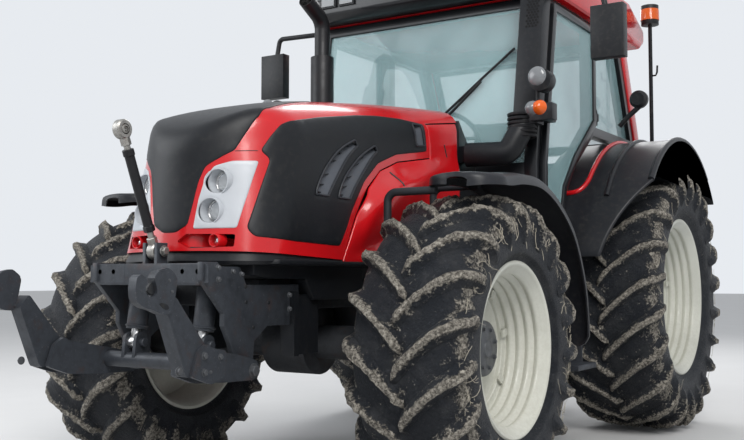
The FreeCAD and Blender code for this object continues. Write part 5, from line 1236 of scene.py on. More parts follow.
def vent_meshes(left, right, shade_fins):
    """A vent's trough, whose floor rises to the back edge, its raised rim and its black
    triangular fins, painted shade that stands for the vent's dark openings.
    """
    stations = 22
    one, two = curve_points([(*p, 0) for p in left], 8), curve_points(
        [(*p, 0) for p in right], 8)
    first = [one[round(k * (len(one) - 1) / stations)] for k in range(stations + 1)]
    second = [two[round(k * (len(two) - 1) / stations)] for k in range(stations + 1)]
    rings = []
    for a, b in zip(first, second):
        ring = []
        for share, depth in ((0, 0.001), (0, 0.020), (0.02, 0.031), (0.35, 0.024),
                             (0.85, 0.006), (1, 0.0005), (1, 0.012), (0.5, 0.034),
                             (0, 0.040), (-0.03, 0.040), (-0.03, 0.001)):
            place = a.lerp(b, share)
            spot, normal = from_side(place.x, place.y)
            ring.append(spot - normal * depth)
        rings.append(ring)
    trough = loft(rings, smooth=40)
    outline = [(p.x, p.y) for p in first] + [(p.x, p.y) for p in reversed(second)]
    outline = rounded(outline[::2], 0.008, 3)
    rim = surface_line(outline, from_side, 0.0055, 0.004, True)
    # Painted shade: black triangular fins across the trough stand for the shadow of the vent's
    # openings.
    shade_blades = []
    for number in range(shade_fins):
        k = 3 + round((stations - 6) * number / max(shade_fins - 1, 1))
        a, b = first[k], second[k]
        corners = []
        for share, depth in ((0.0, 0.000), (0.0, 0.030), (0.62, 0.016)):
            place = a.lerp(b, share)
            spot, normal = from_side(place.x, place.y)
            corners.append(spot - normal * depth)
        shade_blades.append(slab(corners, 0.004, 0.0008, 1))
    return [trough], rim, shade_blades, outline


class TRACTOR_OT_hood(bpy.types.Operator):
    """Makes the hood's wall, panels, vents and lamps, and the flared covers behind them"""
    bl_idname = "tractor.hood"
    bl_label = "Hood"

    def execute(self, context):
        hood = body_of(frame["nodes"]["hood_shell"])[0]
        covers = body_of(frame["nodes"]["side_covers"])[0]
        troughs, rims, shade_fins, holes = [], [], [], []
        for left, right, count in VENTS:
            trough, rim, shade_blades, outline = vent_meshes(left, right, count)
            troughs += trough
            rims.append(rim)
            shade_fins += shade_blades
            holes.append(outline)
        panel = skin_panel(SIDE_PANEL, from_side, 0.0035, holes=holes)
        nose_half = nose_places(NOSE_PANEL_HALF)
        nose_outline = rounded(nose_half + [(-x, y) for x, y in reversed(nose_half)], 0.016)
        nose = skin_panel(nose_outline, over_nose, 0.0035)

        cutters = []
        lamp_holes = []
        for x, z, radius in LAMPS:
            circle = [Vector((x + radius * math.cos(2 * math.pi * k / 40),
                              z + radius * math.sin(2 * math.pi * k / 40))) for k in range(40)]
            lamp_holes.append([tuple(p) for p in circle])
        plate = skin_panel(LAMP_PLATE, from_front, 0.0035, holes=lamp_holes, pitch=0.016)
        for x, z, radius in LAMPS:
            cutters.append(rod((x, along(-1.2), z), (x, along(-0.68), z), radius + 0.006, 36))
        cutters.append(prism(FOG_POCKET, -1.1, -0.84, "y", 0.0))
        cutters.append(prism(SIDE_PANEL, 0.355, 0.8, "x", 0.012))
        cutters.append(prism(COVER_GAP, 0.25, 0.8, "x", 0.0))
        cutters += [mirrored(mesh) for mesh in cutters]
        skin = hood_skin(((Vector((0, along(-0.943), 1.117)), Vector((0, -0.043, -1))),))
        shell = carved(skin, cutters)
        smooth_by_angle(shell, 32)
        piece("hood_wall", shell, "red_paint", hood, stands_for=("hood_shell",))

        def both(name, meshes, finish, body, stands_for=()):
            mesh = joined(meshes) if len(meshes) > 1 else meshes[0]
            whole = joined((mirrored(mesh), mesh))
            return piece(name, whole, finish, body, stands_for)

        both("hood_side_skins", [panel], "satin_black", hood,
             stands_for=("hood_side_panels",))
        both("hood_vent_troughs", troughs, "vent_grey", hood)
        both("hood_vent_rims", rims, "vent_rim", hood)
        both("hood_vent_fins", shade_fins, "lamp_black", hood)
        piece("hood_nose_skin", nose, "satin_black", hood, stands_for=("hood_nose_panel",))
        both("headlamp_plates", [plate], "lamp_silver", hood, stands_for=("headlamps",))

        bowls, lenses, glasses, rings, knobs = [], [], [], [], []
        for x, z, radius in LAMPS:
            spot, normal = from_front(x, z)
            way = Vector((0, -1, 0))
            centre = spot + way * 0.004
            turn = way.to_track_quat("X", "Z").to_matrix().to_4x4()
            place = Matrix.Translation(centre) @ turn
            bowl = lathe(((0.02, radius + 0.001), (-0.010, radius), (-0.040, radius * 0.98),
                          (-0.075, radius * 0.90), (-0.098, radius * 0.72),
                          (-0.100, 0.0001), (-0.106, 0.0001), (-0.106, radius * 0.80),
                          (-0.078, radius + 0.004), (-0.01, radius + 0.005),
                          (0.016, radius + 0.005)), Vector((0, 0, 0)), 48)
            lip = [v for v in bowl.vertices if v.co.x > 0]
            for vertex in lip:
                vertex.co.x = -0.002
            bowls.append(moved(bowl, place))
            ring = lathe(((-0.052, 0.047), (-0.045, 0.047), (-0.044, 0.044), (-0.048, 0.0405),
                          (-0.062, 0.0405), (-0.062, 0.047)), Vector((0, 0, 0)), 48)
            rings.append(moved(ring, place))
            mirror = lathe(((-0.050, 0.0405), (-0.064, 0.034), (-0.078, 0.022),
                            (-0.086, 0.009), (-0.076, 0.0085), (-0.070, 0.0001),
                            (-0.090, 0.0001), (-0.092, 0.012), (-0.082, 0.026),
                            (-0.066, 0.037), (-0.052, 0.043)), Vector((0, 0, 0)), 48)
            lenses.append(moved(mirror, place))
            glass_front = lathe(((-0.049, 0.0415), (-0.040, 0.036), (-0.034, 0.025),
                                 (-0.0315, 0.012), (-0.031, 0.0001), (-0.034, 0.0001),
                                 (-0.036, 0.024), (-0.042, 0.034), (-0.050, 0.0395)),
                                Vector((0, 0, 0)), 48)
            glasses.append(moved(glass_front, place))
            for angle, size in ((3.9, 0.004), (0.7, 0.004)):
                screw = moved(bolt(size, 0.004), Matrix.Translation(
                    (-0.070, radius * 0.86 * math.cos(angle), radius * 0.86
                     * math.sin(angle))))
                knobs.append(moved(screw, place))
        both("headlamp_bowls", bowls, "lamp_silver", hood)
        both("headlamp_rings", rings, "bright_steel", hood)
        both("headlamp_reflectors", lenses, "reflector", hood)
        both("headlamp_glasses", glasses, "lens", hood)
        both("headlamp_screws", knobs, "cast_dark", hood)

        fog = Matrix.Translation((0.222, along(-0.905), 1.159)) @ Vector(
            (0, -1, 0)).to_track_quat("X", "Z").to_matrix().to_4x4()
        pocket = skin_panel([tuple(p) for p in inset(spaced(FOG_POCKET, 0.03), -0.004)],
                            from_front, -0.001, wall=0.004, roll=0.001, pitch=0.018,
                            depth=lambda x, z: 0.022 + 0.085 * min(max((x - 0.12) / 0.1, 0), 1))
        wall = [Vector(p) for p in spaced(FOG_POCKET, 0.03)]
        rows = []
        for depth, out in ((0.0, 0.0), (0.115, 0.0), (0.115, -0.003), (0.0, -0.003)):
            line = inset(wall, out)
            rows.append([from_front(p.x, p.y)[0] + Vector((0, depth + 0.001, 0))
                         for p in line])
        tunnel = loft(rows, closed=True)
        both("fog_pockets", [pocket, tunnel], "red_paint", hood)
        barrel = moved(lathe(((0.0, 0.030), (0.004, 0.029), (0.006, 0.026), (0.004, 0.023),
                              (-0.020, 0.021), (-0.045, 0.021), (-0.045, 0.030)),
                             Vector((0, 0, 0)), 40), fog)
        fog_eye = moved(lathe(((-0.010, 0.0001), (-0.012, 0.010), (-0.018, 0.018),
                               (-0.022, 0.0215), (-0.030, 0.0215), (-0.030, 0.0001)),
                              Vector((0, 0, 0)), 32), fog)
        both("fog_lamp_rings", [barrel], "red_paint", hood)
        both("fog_lamp_lenses", [fog_eye], "mirror", hood)

        # Painted shade: a thin black bead, half sunk in the surface, stands for the shadow in the
        # seam's gap.
        seam_line = [(0.256 + 0.066 * k / 8, 1.538 + 0.004 * k / 8) for k in range(9)]
        seam = surface_line(seam_line, from_front, 0.0016, 0.0002)
        both("hood_strip_seams", [seam], "lamp_black", hood)

        def cover_surface(back, z):
            spot, normal = from_side(back, z)
            return spot + Vector((flare_out(back, z), 0, 0)), normal

        cover = skin_panel(COVER, cover_surface, 0.002, wall=0.008, pitch=0.020, roll=0.004)
        # Painted shade: black beads sunk in the cover stand for the shadow inside its two slots.
        slot_shades = []
        for first, second in (((0.150, 1.525), (0.170, 1.455)), ((0.751, 1.735),
                                                                 (0.779, 1.668))):
            line = [(first[0] + (second[0] - first[0]) * k / 6,
                     first[1] + (second[1] - first[1]) * k / 6) for k in range(7)]
            slot_shades.append(surface_line(line, cover_surface, 0.0065, -0.001))
        both("flared_covers", [cover], "red_paint", covers, stands_for=("side_covers",))
        both("cover_slots", slot_shades, "lamp_black", covers)
        dressed("lower_shroud", 0.008, 2, 28)
        rows = []
        for height, inner in ((1.062, 0.012), (1.075, 0.004), (1.085, 0.006), (1.135, 0.020),
                              (1.135, 0.028), (1.062, 0.026)):
            row = []
            for step in range(-40, 41):
                share = abs(step) / 40
                side = 1 if step > 0 else -1
                if share < 0.6:
                    angle = math.pi / 2 * share / 0.6 * side
                    start, way = Vector((0, -0.35, height)), Vector((math.sin(angle),
                                                                     -math.cos(angle), 0))
                else:
                    start = Vector((0, -0.35 + (share - 0.6) / 0.4 * 0.33, height))
                    way = Vector((side, 0, 0))
                spot, normal = hood_hit(start, way)
                row.append(spot - normal * inner)
            rows.append(row)
        band = loft(list(zip(*rows)))
        piece("shroud_lip", band, "satin_black", body_of(frame["nodes"]["lower_shroud"])[0])
        return {"FINISHED"}


def front_fender_mesh():
    """The left front fender: a crowned sheet with rolled lips and a rounded, thick tip."""
    path = curve_points(((0, -0.300, 1.452), (0, -0.13, 1.452), (0, 0.04, 1.470),
                         (0, 0.25, 1.462), (0, 0.47, 1.385), (0, 0.68, 1.235),
                         (0, 0.82, 1.01), (0, 0.872, 0.80), (0, 0.872, 0.655)), 7)
    across = ((0.0, -0.040), (0.004, -0.018), (0.018, -0.004), (0.06, 0.002), (0.20, 0.008),
              (0.45, 0.011), (0.70, 0.008), (0.86, 0.002), (0.95, -0.006), (0.985, -0.020),
              (1.0, -0.052))
    low, high = 0.835, 1.203
    rings = []
    count = len(path)
    for i, point in enumerate(path):
        way = (path[min(i + 1, count - 1)] - path[max(i - 1, 0)]).normalized()
        up = Vector((0, -way.z, way.y))
        tip = min(1.0, 0.30 + 0.70 * (i / 5) ** 0.6)
        tail = min(1.0, 0.75 + 0.25 * ((count - 1 - i) / 3) ** 0.6)
        width = tip * tail
        middle = high - (high - low) * 0.45 if i < 6 else (low + high) / 2
        middle = middle * (1 - width) + (low + high) / 2 * width
        drop = 0.010 * (1 - min(i / 5, 1)) ** 2
        outer, inner = [], []
        for share, rise in across:
            x = middle + (share - 0.5) * (high - low) * width
            base = Vector((x, along(point.y), point.z - drop))
            depth = 0.009 + 0.010 * (1 - min(i / 4, 1))
            outer.append(base + up * rise)
            side = (0.5 - share) * 0.03
            inner.append(base + up * (rise - depth if abs(share - 0.5) < 0.45 else rise)
                         + Vector((side * 0.55 if abs(share - 0.5) >= 0.45 else 0, 0, 0)))
        rings.append(outer + inner[::-1])
    return loft(rings, smooth=50)


class TRACTOR_OT_fenders(bpy.types.Operator):
    """Dresses the front and rear fenders"""
    bl_idname = "tractor.fenders"
    bl_label = "Fenders"

    def execute(self, context):
        front = front_fender_mesh()
        for side in ("left", "right"):
            mesh = mirrored(front) if side == "right" else front.copy()
            body = body_of(frame["nodes"]["front_fender_" + side])[0]
            piece("front_crowned_fender_" + side, mesh, "fender_black", body,
                  ("front_fender_" + side,))
            rear = dressed("rear_fender_" + side, 0.010, 3, 28, finish="fender_black")
            out = 1 if side == "left" else -1
            tree = BVHTree.FromPolygons([v.co for v in rear.data.vertices],
                                        [tuple(f.vertices) for f in rear.data.polygons])

            def on_fender(places, height):
                line = []
                for x, back in places:
                    spot = tree.ray_cast(Vector((x * out, along(back), 2.6)),
                                         Vector((0, 0, -1)))[0]
                    if spot:
                        line.append(spot + Vector((0, 0, height)))
                return line

            body = body_of(frame["nodes"]["rear_fender_" + side])[0]
            backs = [1.78 + 0.085 * k for k in range(18)]
            rib = tube(on_fender([(0.985, b) for b in backs], 0.002), 0.017, 12)
            lip = tube(on_fender([(1.232, b) for b in backs], -0.004), 0.020, 12)
            front_line = []
            for x, z in ((0.62, 1.535), (0.72, 1.530), (0.80, 1.545), (0.838, 1.60),
                         (0.845, 1.68), (0.845, 1.76)):
                spot = tree.ray_cast(Vector((x * out, along(1.2), z)), Vector((0, 1, 0)))[0]
                if spot:
                    front_line.append(spot + Vector((0, -0.006, 0)))
            crown = on_fender([(0.845, b) for b in backs], 0.006)
            crown = [spot for spot in crown if spot.y > front_line[-1].y + 0.05]
            trim = tube(curve_points(front_line + crown, 4), 0.015, 12)
            piece("rear_fender_rib_" + side, joined((rib, lip)), "fender_black", body)
            piece("rear_fender_trim_" + side, trim, "red_paint", body)
        return {"FINISHED"}


def round_lens(place, radius, depth):
    """A domed lamp glass that looks forward."""
    mesh = lathe(((-0.004, radius), (0.0, radius * 0.98), (depth * 0.5, radius * 0.80),
                  (depth * 0.9, radius * 0.40), (depth, 0.0001), (-0.004, 0.0001)),
                 Vector((0, 0, 0)), 40)
    turn = Vector((0, -1, 0)).to_track_quat("X", "Z").to_matrix().to_4x4()
    return moved(mesh, Matrix.Translation(place) @ turn)


def cushion(name, low, high, lean, stands_for=()):
    """A padded seat part: a remeshed block blown up by the cloth solver."""
    low, high = Vector(low), Vector(high)
    middle = (low + high) / 2
    start = block(low + Vector((0.016, 0.016, 0.016)), high - Vector((0.016, 0.016, 0.016)),
                  0.030, 4)
    start.transform(Matrix.Translation(middle) @ Matrix.Rotation(lean, 4, "X")
                    @ Matrix.Translation(-middle))
    thing = bpy.data.objects.new(name, start)
    bpy.context.scene.collection.objects.link(thing)
    grid = thing.modifiers.new("grid", "REMESH")
    grid.mode = "VOXEL"
    grid.voxel_size = 0.006
    thing.data = evaluated(thing)
    before = [v.co.copy() for v in thing.data.vertices]
    cloth = thing.modifiers.new("cloth", "CLOTH")
    cloth.settings.use_pressure = True
    cloth.settings.uniform_pressure_force = 4
    cloth.settings.effector_weights.gravity = 0
    for step in range(1, 21):
        bpy.context.scene.frame_set(step)
    thing.data = evaluated(thing)
    bpy.context.scene.frame_set(1)
    for vertex, old in zip(thing.data.vertices, before):
        shift = vertex.co - old
        if shift.length > 0.024:
            vertex.co = old + shift.normalized() * 0.024
        for axis in range(3):
            vertex.co[axis] = min(max(vertex.co[axis], low[axis] - 0.02),
                                  high[axis] + 0.02)
    soft = thing.modifiers.new("soft", "SUBSURF")
    soft.levels = soft.render_levels = 1
    thing.data = evaluated(thing)
    for polygon in thing.data.polygons:
        polygon.use_smooth = True
    body = body_of(frame["nodes"]["seat"])[0]
    piece(name, thing, "seat_cloth", body, stands_for=stands_for)


class TRACTOR_OT_cab(bpy.types.Operator):
    """Dresses the cab: frame, doors, glass, roof, lamps and mirrors"""
    bl_idname = "tractor.cab"
    bl_label = "Cab"

    def execute(self, context):
        for node, bevel in (("cab_frame", 0.006), ("cab_base", 0.008), ("rear_pillars", 0.012),
                            ("door_left", 0.004), ("door_right", 0.004),
                            ("rear_window", 0.004), ("roof", 0.030), ("roof_visor", 0.02),
                            ("mirrors", 0.006), ("cab_lamps", 0.003), ("console", 0.006),
                            ("seat", 0.03), ("seat_base", 0.01), ("cab_glass", 0),
                            ("door_glass_left", 0), ("door_glass_right", 0),
                            ("rear_window_glass", 0)):
            if node != "seat":
                dressed(node, bevel, 3 if bevel > 0.01 else 2, 28)
        cushion("seat_cushion", (-0.235, 0.775, 1.490), (0.235, 1.275, 1.610), 0.0, ("seat",))
        cushion("seat_back", (-0.225, 1.215, 1.620), (0.225, 1.325, 2.140), -0.09)
        lamps = body_of(frame["nodes"]["cab_lamps"])[0]
        ambers, whites = [], []
        for side in (-1, 1):
            ambers.append(round_lens((0.958 * side, along(0.80), 1.900), 0.040, 0.042))
            whites.append(round_lens((0.916 * side, along(0.80), 1.900), 0.040, 0.036))
            whites.append(round_lens((0.915 * side, along(0.872), 2.085), 0.052, 0.016))
        dome = lathe(((0.0, 0.0655), (0.075, 0.064), (0.095, 0.056), (0.105, 0.040),
                      (0.108, 0.0001), (0.0, 0.0001)), Vector((0, 0, 0)), 48)
        dome = moved(dome, Matrix.Translation((0.92, along(2.99), 2.862))
                     @ Matrix.Rotation(-math.pi / 2, 4, "Y"))
        piece("beacon_dome", dome, "orange_lens", lamps)
        piece("cab_indicators", joined(ambers), "orange_lens", lamps)
        piece("cab_lamp_glasses", joined(whites), "lamp_glass", lamps)
        self.front_details(lamps)
        folds = []
        for k in range(6):
            ring = [(0.735 + 0.074 * math.cos(2 * math.pi * i / 28), along(1.09)
                     + 0.074 * math.sin(2 * math.pi * i / 28), 1.80 + 0.024 * k)
                    for i in range(28)]
            folds.append(tube(ring, 0.011, 8, True))
        piece("intake_bellows", joined(folds), "hose_rubber",
              body_of(frame["nodes"]["air_intake"])[0])
        return {"FINISHED"}

    def front_details(self, lamps):
        """The wiper, black discs painted as the shade in the intake grille's holes, the visor's
        lamps and the rear work lamps.
        """
        def seen(node, x, z, proud):
            thing = frame["nodes"][node]
            tree = BVHTree.FromPolygons([thing.matrix_world @ v.co for v in thing.data.vertices],
                                        [tuple(f.vertices) for f in thing.data.polygons])
            spot, normal = tree.ray_cast(Vector((x, -3.0, z)), Vector((0, 1, 0)))[:2]
            if spot is None:
                raise RuntimeError(f"nothing of {node} at {x}, {z}")
            return spot + Vector((0, -proud, 0)), normal

        arm = [seen("cab_glass", x, z, proud)[0] for x, z, proud in
               ((-0.03, 1.790, 0.030), (0.20, 1.955, 0.036), (0.42, 2.170, 0.026))]
        blade = [seen("cab_glass", x, z, 0.020)[0] for x, z in
                 ((0.05, 1.880), (0.24, 2.035), (0.43, 2.195), (0.62, 2.350))]
        arm = [Vector(place) for place in arm]
        wiper = [tube(arm, 0.009, 10), tube(blade, 0.008, 8),
                 rod(arm[0], arm[0] + Vector((0, 0.03, 0)), 0.020)]
        cab = body_of(frame["nodes"]["cab_frame"])[0]
        piece("windscreen_wiper", joined(wiper), "hose_rubber", cab)
        # Painted shade: near-black discs, barely proud of the intake's face, stand for the shadow
        # in its grille holes.
        cells = []
        for row in range(11):
            for column in range(4):
                x = 0.752 + 0.019 * column + 0.0095 * (row % 2)
                place, normal = seen("air_intake", x, 2.430 + 0.0165 * row, 0.0)
                cells.append(rod(place - normal * 0.001, place + normal * 0.0015, 0.0075, 6, 0))
        piece("intake_grille", joined(cells), "dark_pit",
              body_of(frame["nodes"]["air_intake"])[0])
        cases, glasses = [], []
        for side in (-1, 1):
            for x in (0.50, 0.64):
                place = seen("roof_visor", x * side, 2.800, 0.0)[0]
                cases.append(block(place - Vector((0.058, 0.012, 0.048)),
                                   place + Vector((0.058, 0.010, 0.048)), 0.012, 3))
                glasses.append(block(place - Vector((0.048, 0.017, 0.038)),
                                     place + Vector((0.048, 0.004, 0.038)), 0.008, 3))
            out = Vector((0.93 * side, along(2.66), 2.235))
            cases.append(rod(out + Vector((0, -0.035, 0)), out + Vector((0, 0.035, 0)),
                             0.062, 32, 0.3))
            glasses.append(rod(out + Vector((0, 0.030, 0)), out + Vector((0, 0.042, 0)),
                               0.052, 32, 0.3))
            cases.append(tube([(0.79 * side, along(2.66), 2.06), (0.85 * side, along(2.66), 2.12),
                               tuple(out - Vector((0, 0, 0.05)))], 0.018, 12))
        hook = [(0.92, along(2.99), 2.46), (0.955, along(2.99), 2.46), (0.965, along(2.99), 2.48),
                (0.968, along(2.99), 2.53)]
        cases.append(tube(hook, 0.007, 8))
        piece("cab_lamp_cases", joined(cases), "lamp_black", lamps)
        piece("cab_square_lamps", joined(glasses), "lamp_glass", lamps)


class TRACTOR_OT_chassis(bpy.types.Operator):
    """Dresses axle, frames, engine, gearbox, tanks, steps, exhaust and intake"""
    bl_idname = "tractor.chassis"
    bl_label = "Chassis"

    def execute(self, context):
        for node, bevel in (("front_axle", 0.010), ("knuckle_left", 0.004),
                            ("knuckle_right", 0.004), ("front_frame", 0.010),
                            ("engine", 0.012), ("gearbox", 0.015), ("side_tanks", 0.030),
                            ("steps", 0.004), ("exhaust", 0.004), ("air_intake", 0.006)):
            dressed(node, bevel, 2, 28)
        return {"FINISHED"}


CLAW = ((-1.540, 1.018), (-1.512, 1.006), (-1.503, 0.988), (-1.517, 0.970), (-1.509, 0.943),
        (-1.484, 0.934), (-1.456, 0.948), (-1.462, 0.977), (-1.475, 1.004), (-1.455, 1.028),
        (-1.397, 1.036), (-1.356, 1.002), (-1.369, 0.934), (-1.392, 0.872), (-1.436, 0.876),
        (-1.478, 0.892), (-1.518, 0.900), (-1.556, 0.922), (-1.564, 0.959), (-1.558, 1.004))
LIFT_ARM = ((-1.350, 0.938), (-1.180, 0.742), (-1.180, 0.640), (-1.290, 0.640),
            (-1.318, 0.705), (-1.395, 0.890))
ARM_BRACKET = ((-1.244, 0.731), (-1.199, 0.759), (-1.160, 0.740), (-1.067, 0.724),
               (-0.880, 0.690), (-0.790, 0.664), (-0.770, 0.624), (-0.800, 0.586),
               (-1.000, 0.592), (-1.167, 0.604), (-1.276, 0.641))


class TRACTOR_OT_linkages(bpy.types.Operator):
    """Dresses the front linkage and the rear linkage"""
    bl_idname = "tractor.linkages"
    bl_label = "Linkages"

    def execute(self, context):
        for node, bevel in (("linkage_frame", 0.006), ("lift_barrels", 0.003),
                            ("lift_rods", 0.002), ("rear_hitch", 0.004),
                            ("rear_lower_links", 0.003), ("rear_lift_arms", 0.003),
                            ("rear_lift_rods", 0.002), ("rear_top_link", 0.002)):
            dressed(node, bevel, 2, 28)
        frame_body = body_of(frame["nodes"]["linkage_frame"])[0]
        arms_body = body_of(frame["nodes"]["lift_arms"])[0]
        heads, holes = [], []
        for back, z, size in ((-1.025, 1.044, 0.010), (-1.024, 0.998, 0.010),
                              (-0.936, 1.030, 0.009), (-0.883, 1.019, 0.009),
                              (-0.560, 0.930, 0.010), (-0.560, 0.870, 0.010)):
            heads.append(moved(bolt(size, 0.012), Matrix.Translation((0.347, along(back), z))))
        # Painted shade: thin black discs on the frame's side and on the beam face stand for the
        # shadow inside holes.
        for back, z in ((-0.852, 0.968), (-0.848, 0.905), (-0.70, 0.90), (-0.80, 0.80)):
            holes.append(rod((0.3455, along(back), z), (0.3488, along(back), z), 0.009, 20))
        for x in (0.325, 0.245):
            holes.append(rod((x - 0.05, along(-1.0655), 1.03), (x - 0.05, along(-1.06), 1.03),
                             0.012, 20))
        heads.append(moved(bolt(0.024, 0.018), Matrix.Translation((0.357, along(-0.812),
                                                                   0.624))))
        beam_face = slab([(0.333, along(-1.0655), 0.985), (0.333, along(-1.0655), 1.058),
                          (0.13, along(-1.0655), 1.058), (0.13, along(-1.0655), 0.985)], 0.004,
                         0.002)
        bars = [block((0.262, along(-0.505), 0.66), (0.335, along(-0.470), 0.945), 0.006),
                block((0.225, along(-0.462), 0.665), (0.318, along(-0.300), 0.930), 0.022, 4)]
        for name, meshes, finish in (("linkage_bolts", heads, "hub_grey"),
                                     ("linkage_holes", holes, "lamp_black"),
                                     ("linkage_beam_faces", [beam_face], "linkage_grey"),
                                     ("frame_side_boxes", bars, "satin_black")):
            mesh = joined(meshes) if len(meshes) > 1 else meshes[0]
            piece(name, joined((mirrored(mesh), mesh)), finish, frame_body)

        def flat(outline, x, thickness, bevel=0.004):
            corners = [(x, along(back), z) for back, z in rounded(outline, 0.012, 2)]
            mesh = slab(corners, thickness, bevel)
            reach = [v.co.x for v in mesh.vertices]
            return moved(mesh, Matrix.Translation((x - max(reach), 0, 0)))

        claw = flat(CLAW, 0.448, 0.036, 0.004)
        arm = flat(LIFT_ARM, 0.432, 0.062, 0.006)
        sheet = flat(ARM_BRACKET, 0.358, 0.022, 0.003)
        ear = flat(((-1.244, 0.731), (-1.199, 0.759), (-1.160, 0.740), (-1.085, 0.728),
                    (-1.085, 0.632), (-1.167, 0.604), (-1.276, 0.641)), 0.446, 0.014, 0.003)
        web = flat(((-1.235, 0.725), (-1.085, 0.700), (-1.085, 0.640), (-1.250, 0.645)), 0.435,
                   0.090, 0.004)
        catch = flat(((-1.452, 1.030), (-1.395, 1.041), (-1.352, 1.010), (-1.362, 0.985),
                      (-1.385, 1.012), (-1.448, 1.012)), 0.440, 0.020, 0.003)
        lugs = []
        for x in (0.150, 0.214):
            lugs.append(flat(((-0.985, 0.640), (-0.972, 0.760), (-0.940, 0.776),
                              (-0.908, 0.760), (-0.900, 0.640)), x + 0.016, 0.016, 0.003))
        pin = rod((0.130, along(-0.940), 0.730), (0.250, along(-0.940), 0.730), 0.018, 24)
        cross = rod((-0.0001, along(-0.950), 0.655), (0.345, along(-0.950), 0.655), 0.034, 32,
                    0.02)
        solid = joined((claw, arm, sheet, ear, web, catch, cross, pin, *lugs))
        piece("lift_arm_pair", joined((mirrored(solid), solid)), "linkage_grey", arms_body,
              stands_for=("lift_arms",))
        bits = []
        for back, z, size, x in ((-1.332, 0.667, 0.013, 0.433), (-1.209, 0.653, 0.012, 0.446),
                                 (-1.120, 0.705, 0.010, 0.446), (-1.174, 0.652, 0.006, 0.446),
                                 (-1.21, 0.715, 0.012, 0.446), (-1.40, 0.995, 0.005, 0.448),
                                 (-1.385, 0.955, 0.005, 0.448)):
            bits.append(moved(bolt(size, size * 0.9), Matrix.Translation((x, along(back), z))))
        bits = joined(bits)
        piece("lift_arm_bolts", joined((mirrored(bits), bits)), "hub_grey", arms_body)
        # Painted shade: the thin black plate on the claw's face stands for the shadow in its eye;
        # the spring in the claw's mouth is a black part.
        eye = flat(((-1.452, 0.912), (-1.440, 0.918), (-1.405, 0.908), (-1.398, 0.893),
                    (-1.420, 0.890)), 0.4488, 0.004, 0.001)
        spring = flat(((-1.500, 0.960), (-1.470, 0.940), (-1.455, 0.955), (-1.468, 0.985),
                       (-1.478, 0.990)), 0.436, 0.012, 0.003)
        eye_shade_and_spring = joined((eye, spring))
        piece("claw_catches", joined((mirrored(eye_shade_and_spring), eye_shade_and_spring)), "lamp_black", arms_body)
        barrels = body_of(frame["nodes"]["lift_barrels"])[0]
        top, low = Vector((0.19, along(-0.90), 1.015)), Vector((0.19, along(-0.94), 0.73))
        way = (low - top).normalized()
        collars = [rod(top + way * reach, top + way * (reach + 0.012), 0.050, 32, 0.1)
                   for reach in (0.212,)]
        collars.append(rod(top + way * 0.030, top + way * 0.040, 0.047, 32, 0.1))
        collars = joined(collars)
        piece("lift_barrel_collars", joined((mirrored(collars), collars)), "linkage_grey",
              barrels)
        self.top_link()
        return {"FINISHED"}

    def top_link(self):
        """The top link: steel ball eyes at head and foot, a black tube with collars and a pin at
        the foot.
        """
        body = body_of(frame["nodes"]["front_top_link"])[0]
        foot, head = Vector((0, along(-1.020), 1.115)), Vector((0, along(-1.212), 1.600))
        way = (head - foot).normalized()
        turn = way.to_track_quat("Z", "X").to_matrix().to_4x4()

        def eye_at(place, radius, half):
            ring = lathe(((-half, radius * 0.55), (-half, radius * 0.86), (-half * 0.7, radius),
                          (half * 0.7, radius), (half, radius * 0.86), (half, radius * 0.55),
                          (half * 0.3, radius * 0.62), (-half * 0.3, radius * 0.62)),
                         Vector((0, 0, 0)), 48)
            ball = lathe(((-half * 1.15, radius * 0.30), (-half * 1.1, radius * 0.42),
                          (-half * 0.6, radius * 0.58), (0, radius * 0.64),
                          (half * 0.6, radius * 0.58), (half * 1.1, radius * 0.42),
                          (half * 1.15, radius * 0.30)), Vector((0, 0, 0)), 40)
            return moved(joined((ring, ball)), Matrix.Translation(place))

        steel = [eye_at(head, 0.040, 0.020), eye_at(foot, 0.036, 0.020),
                 rod(head - way * 0.105, head - way * 0.030, 0.0135, 20, 0.1),
                 rod(foot + way * 0.028, foot + way * 0.110, 0.0135, 20, 0.1),
                 rod(head - way * 0.068, head - way * 0.034, 0.021, 6, 0.12),
                 rod(foot + way * 0.030, foot + way * 0.060, 0.021, 6, 0.12)]
        piece("top_link_eyes", joined(steel), "worn_steel", body,
              ("front_top_link",))
        sleeve = [rod(foot + way * 0.092, head - way * 0.088, 0.0205, 28, 0.15),
                  rod(foot + way * 0.086, foot + way * 0.112, 0.024, 6, 0.1),
                  rod(head - way * 0.112, head - way * 0.084, 0.024, 28, 0.1)]
        piece("top_link_tube", joined(sleeve), "exhaust_black", body)
        pin = [rod((-0.052, foot.y, foot.z), (0.052, foot.y, foot.z), 0.017, 24),
               moved(bolt(0.018, 0.016), Matrix.Translation((0.050, foot.y, foot.z)))]
        piece("top_link_pin", joined(pin), "worn_steel",
              body_of(frame["nodes"]["linkage_frame"])[0])


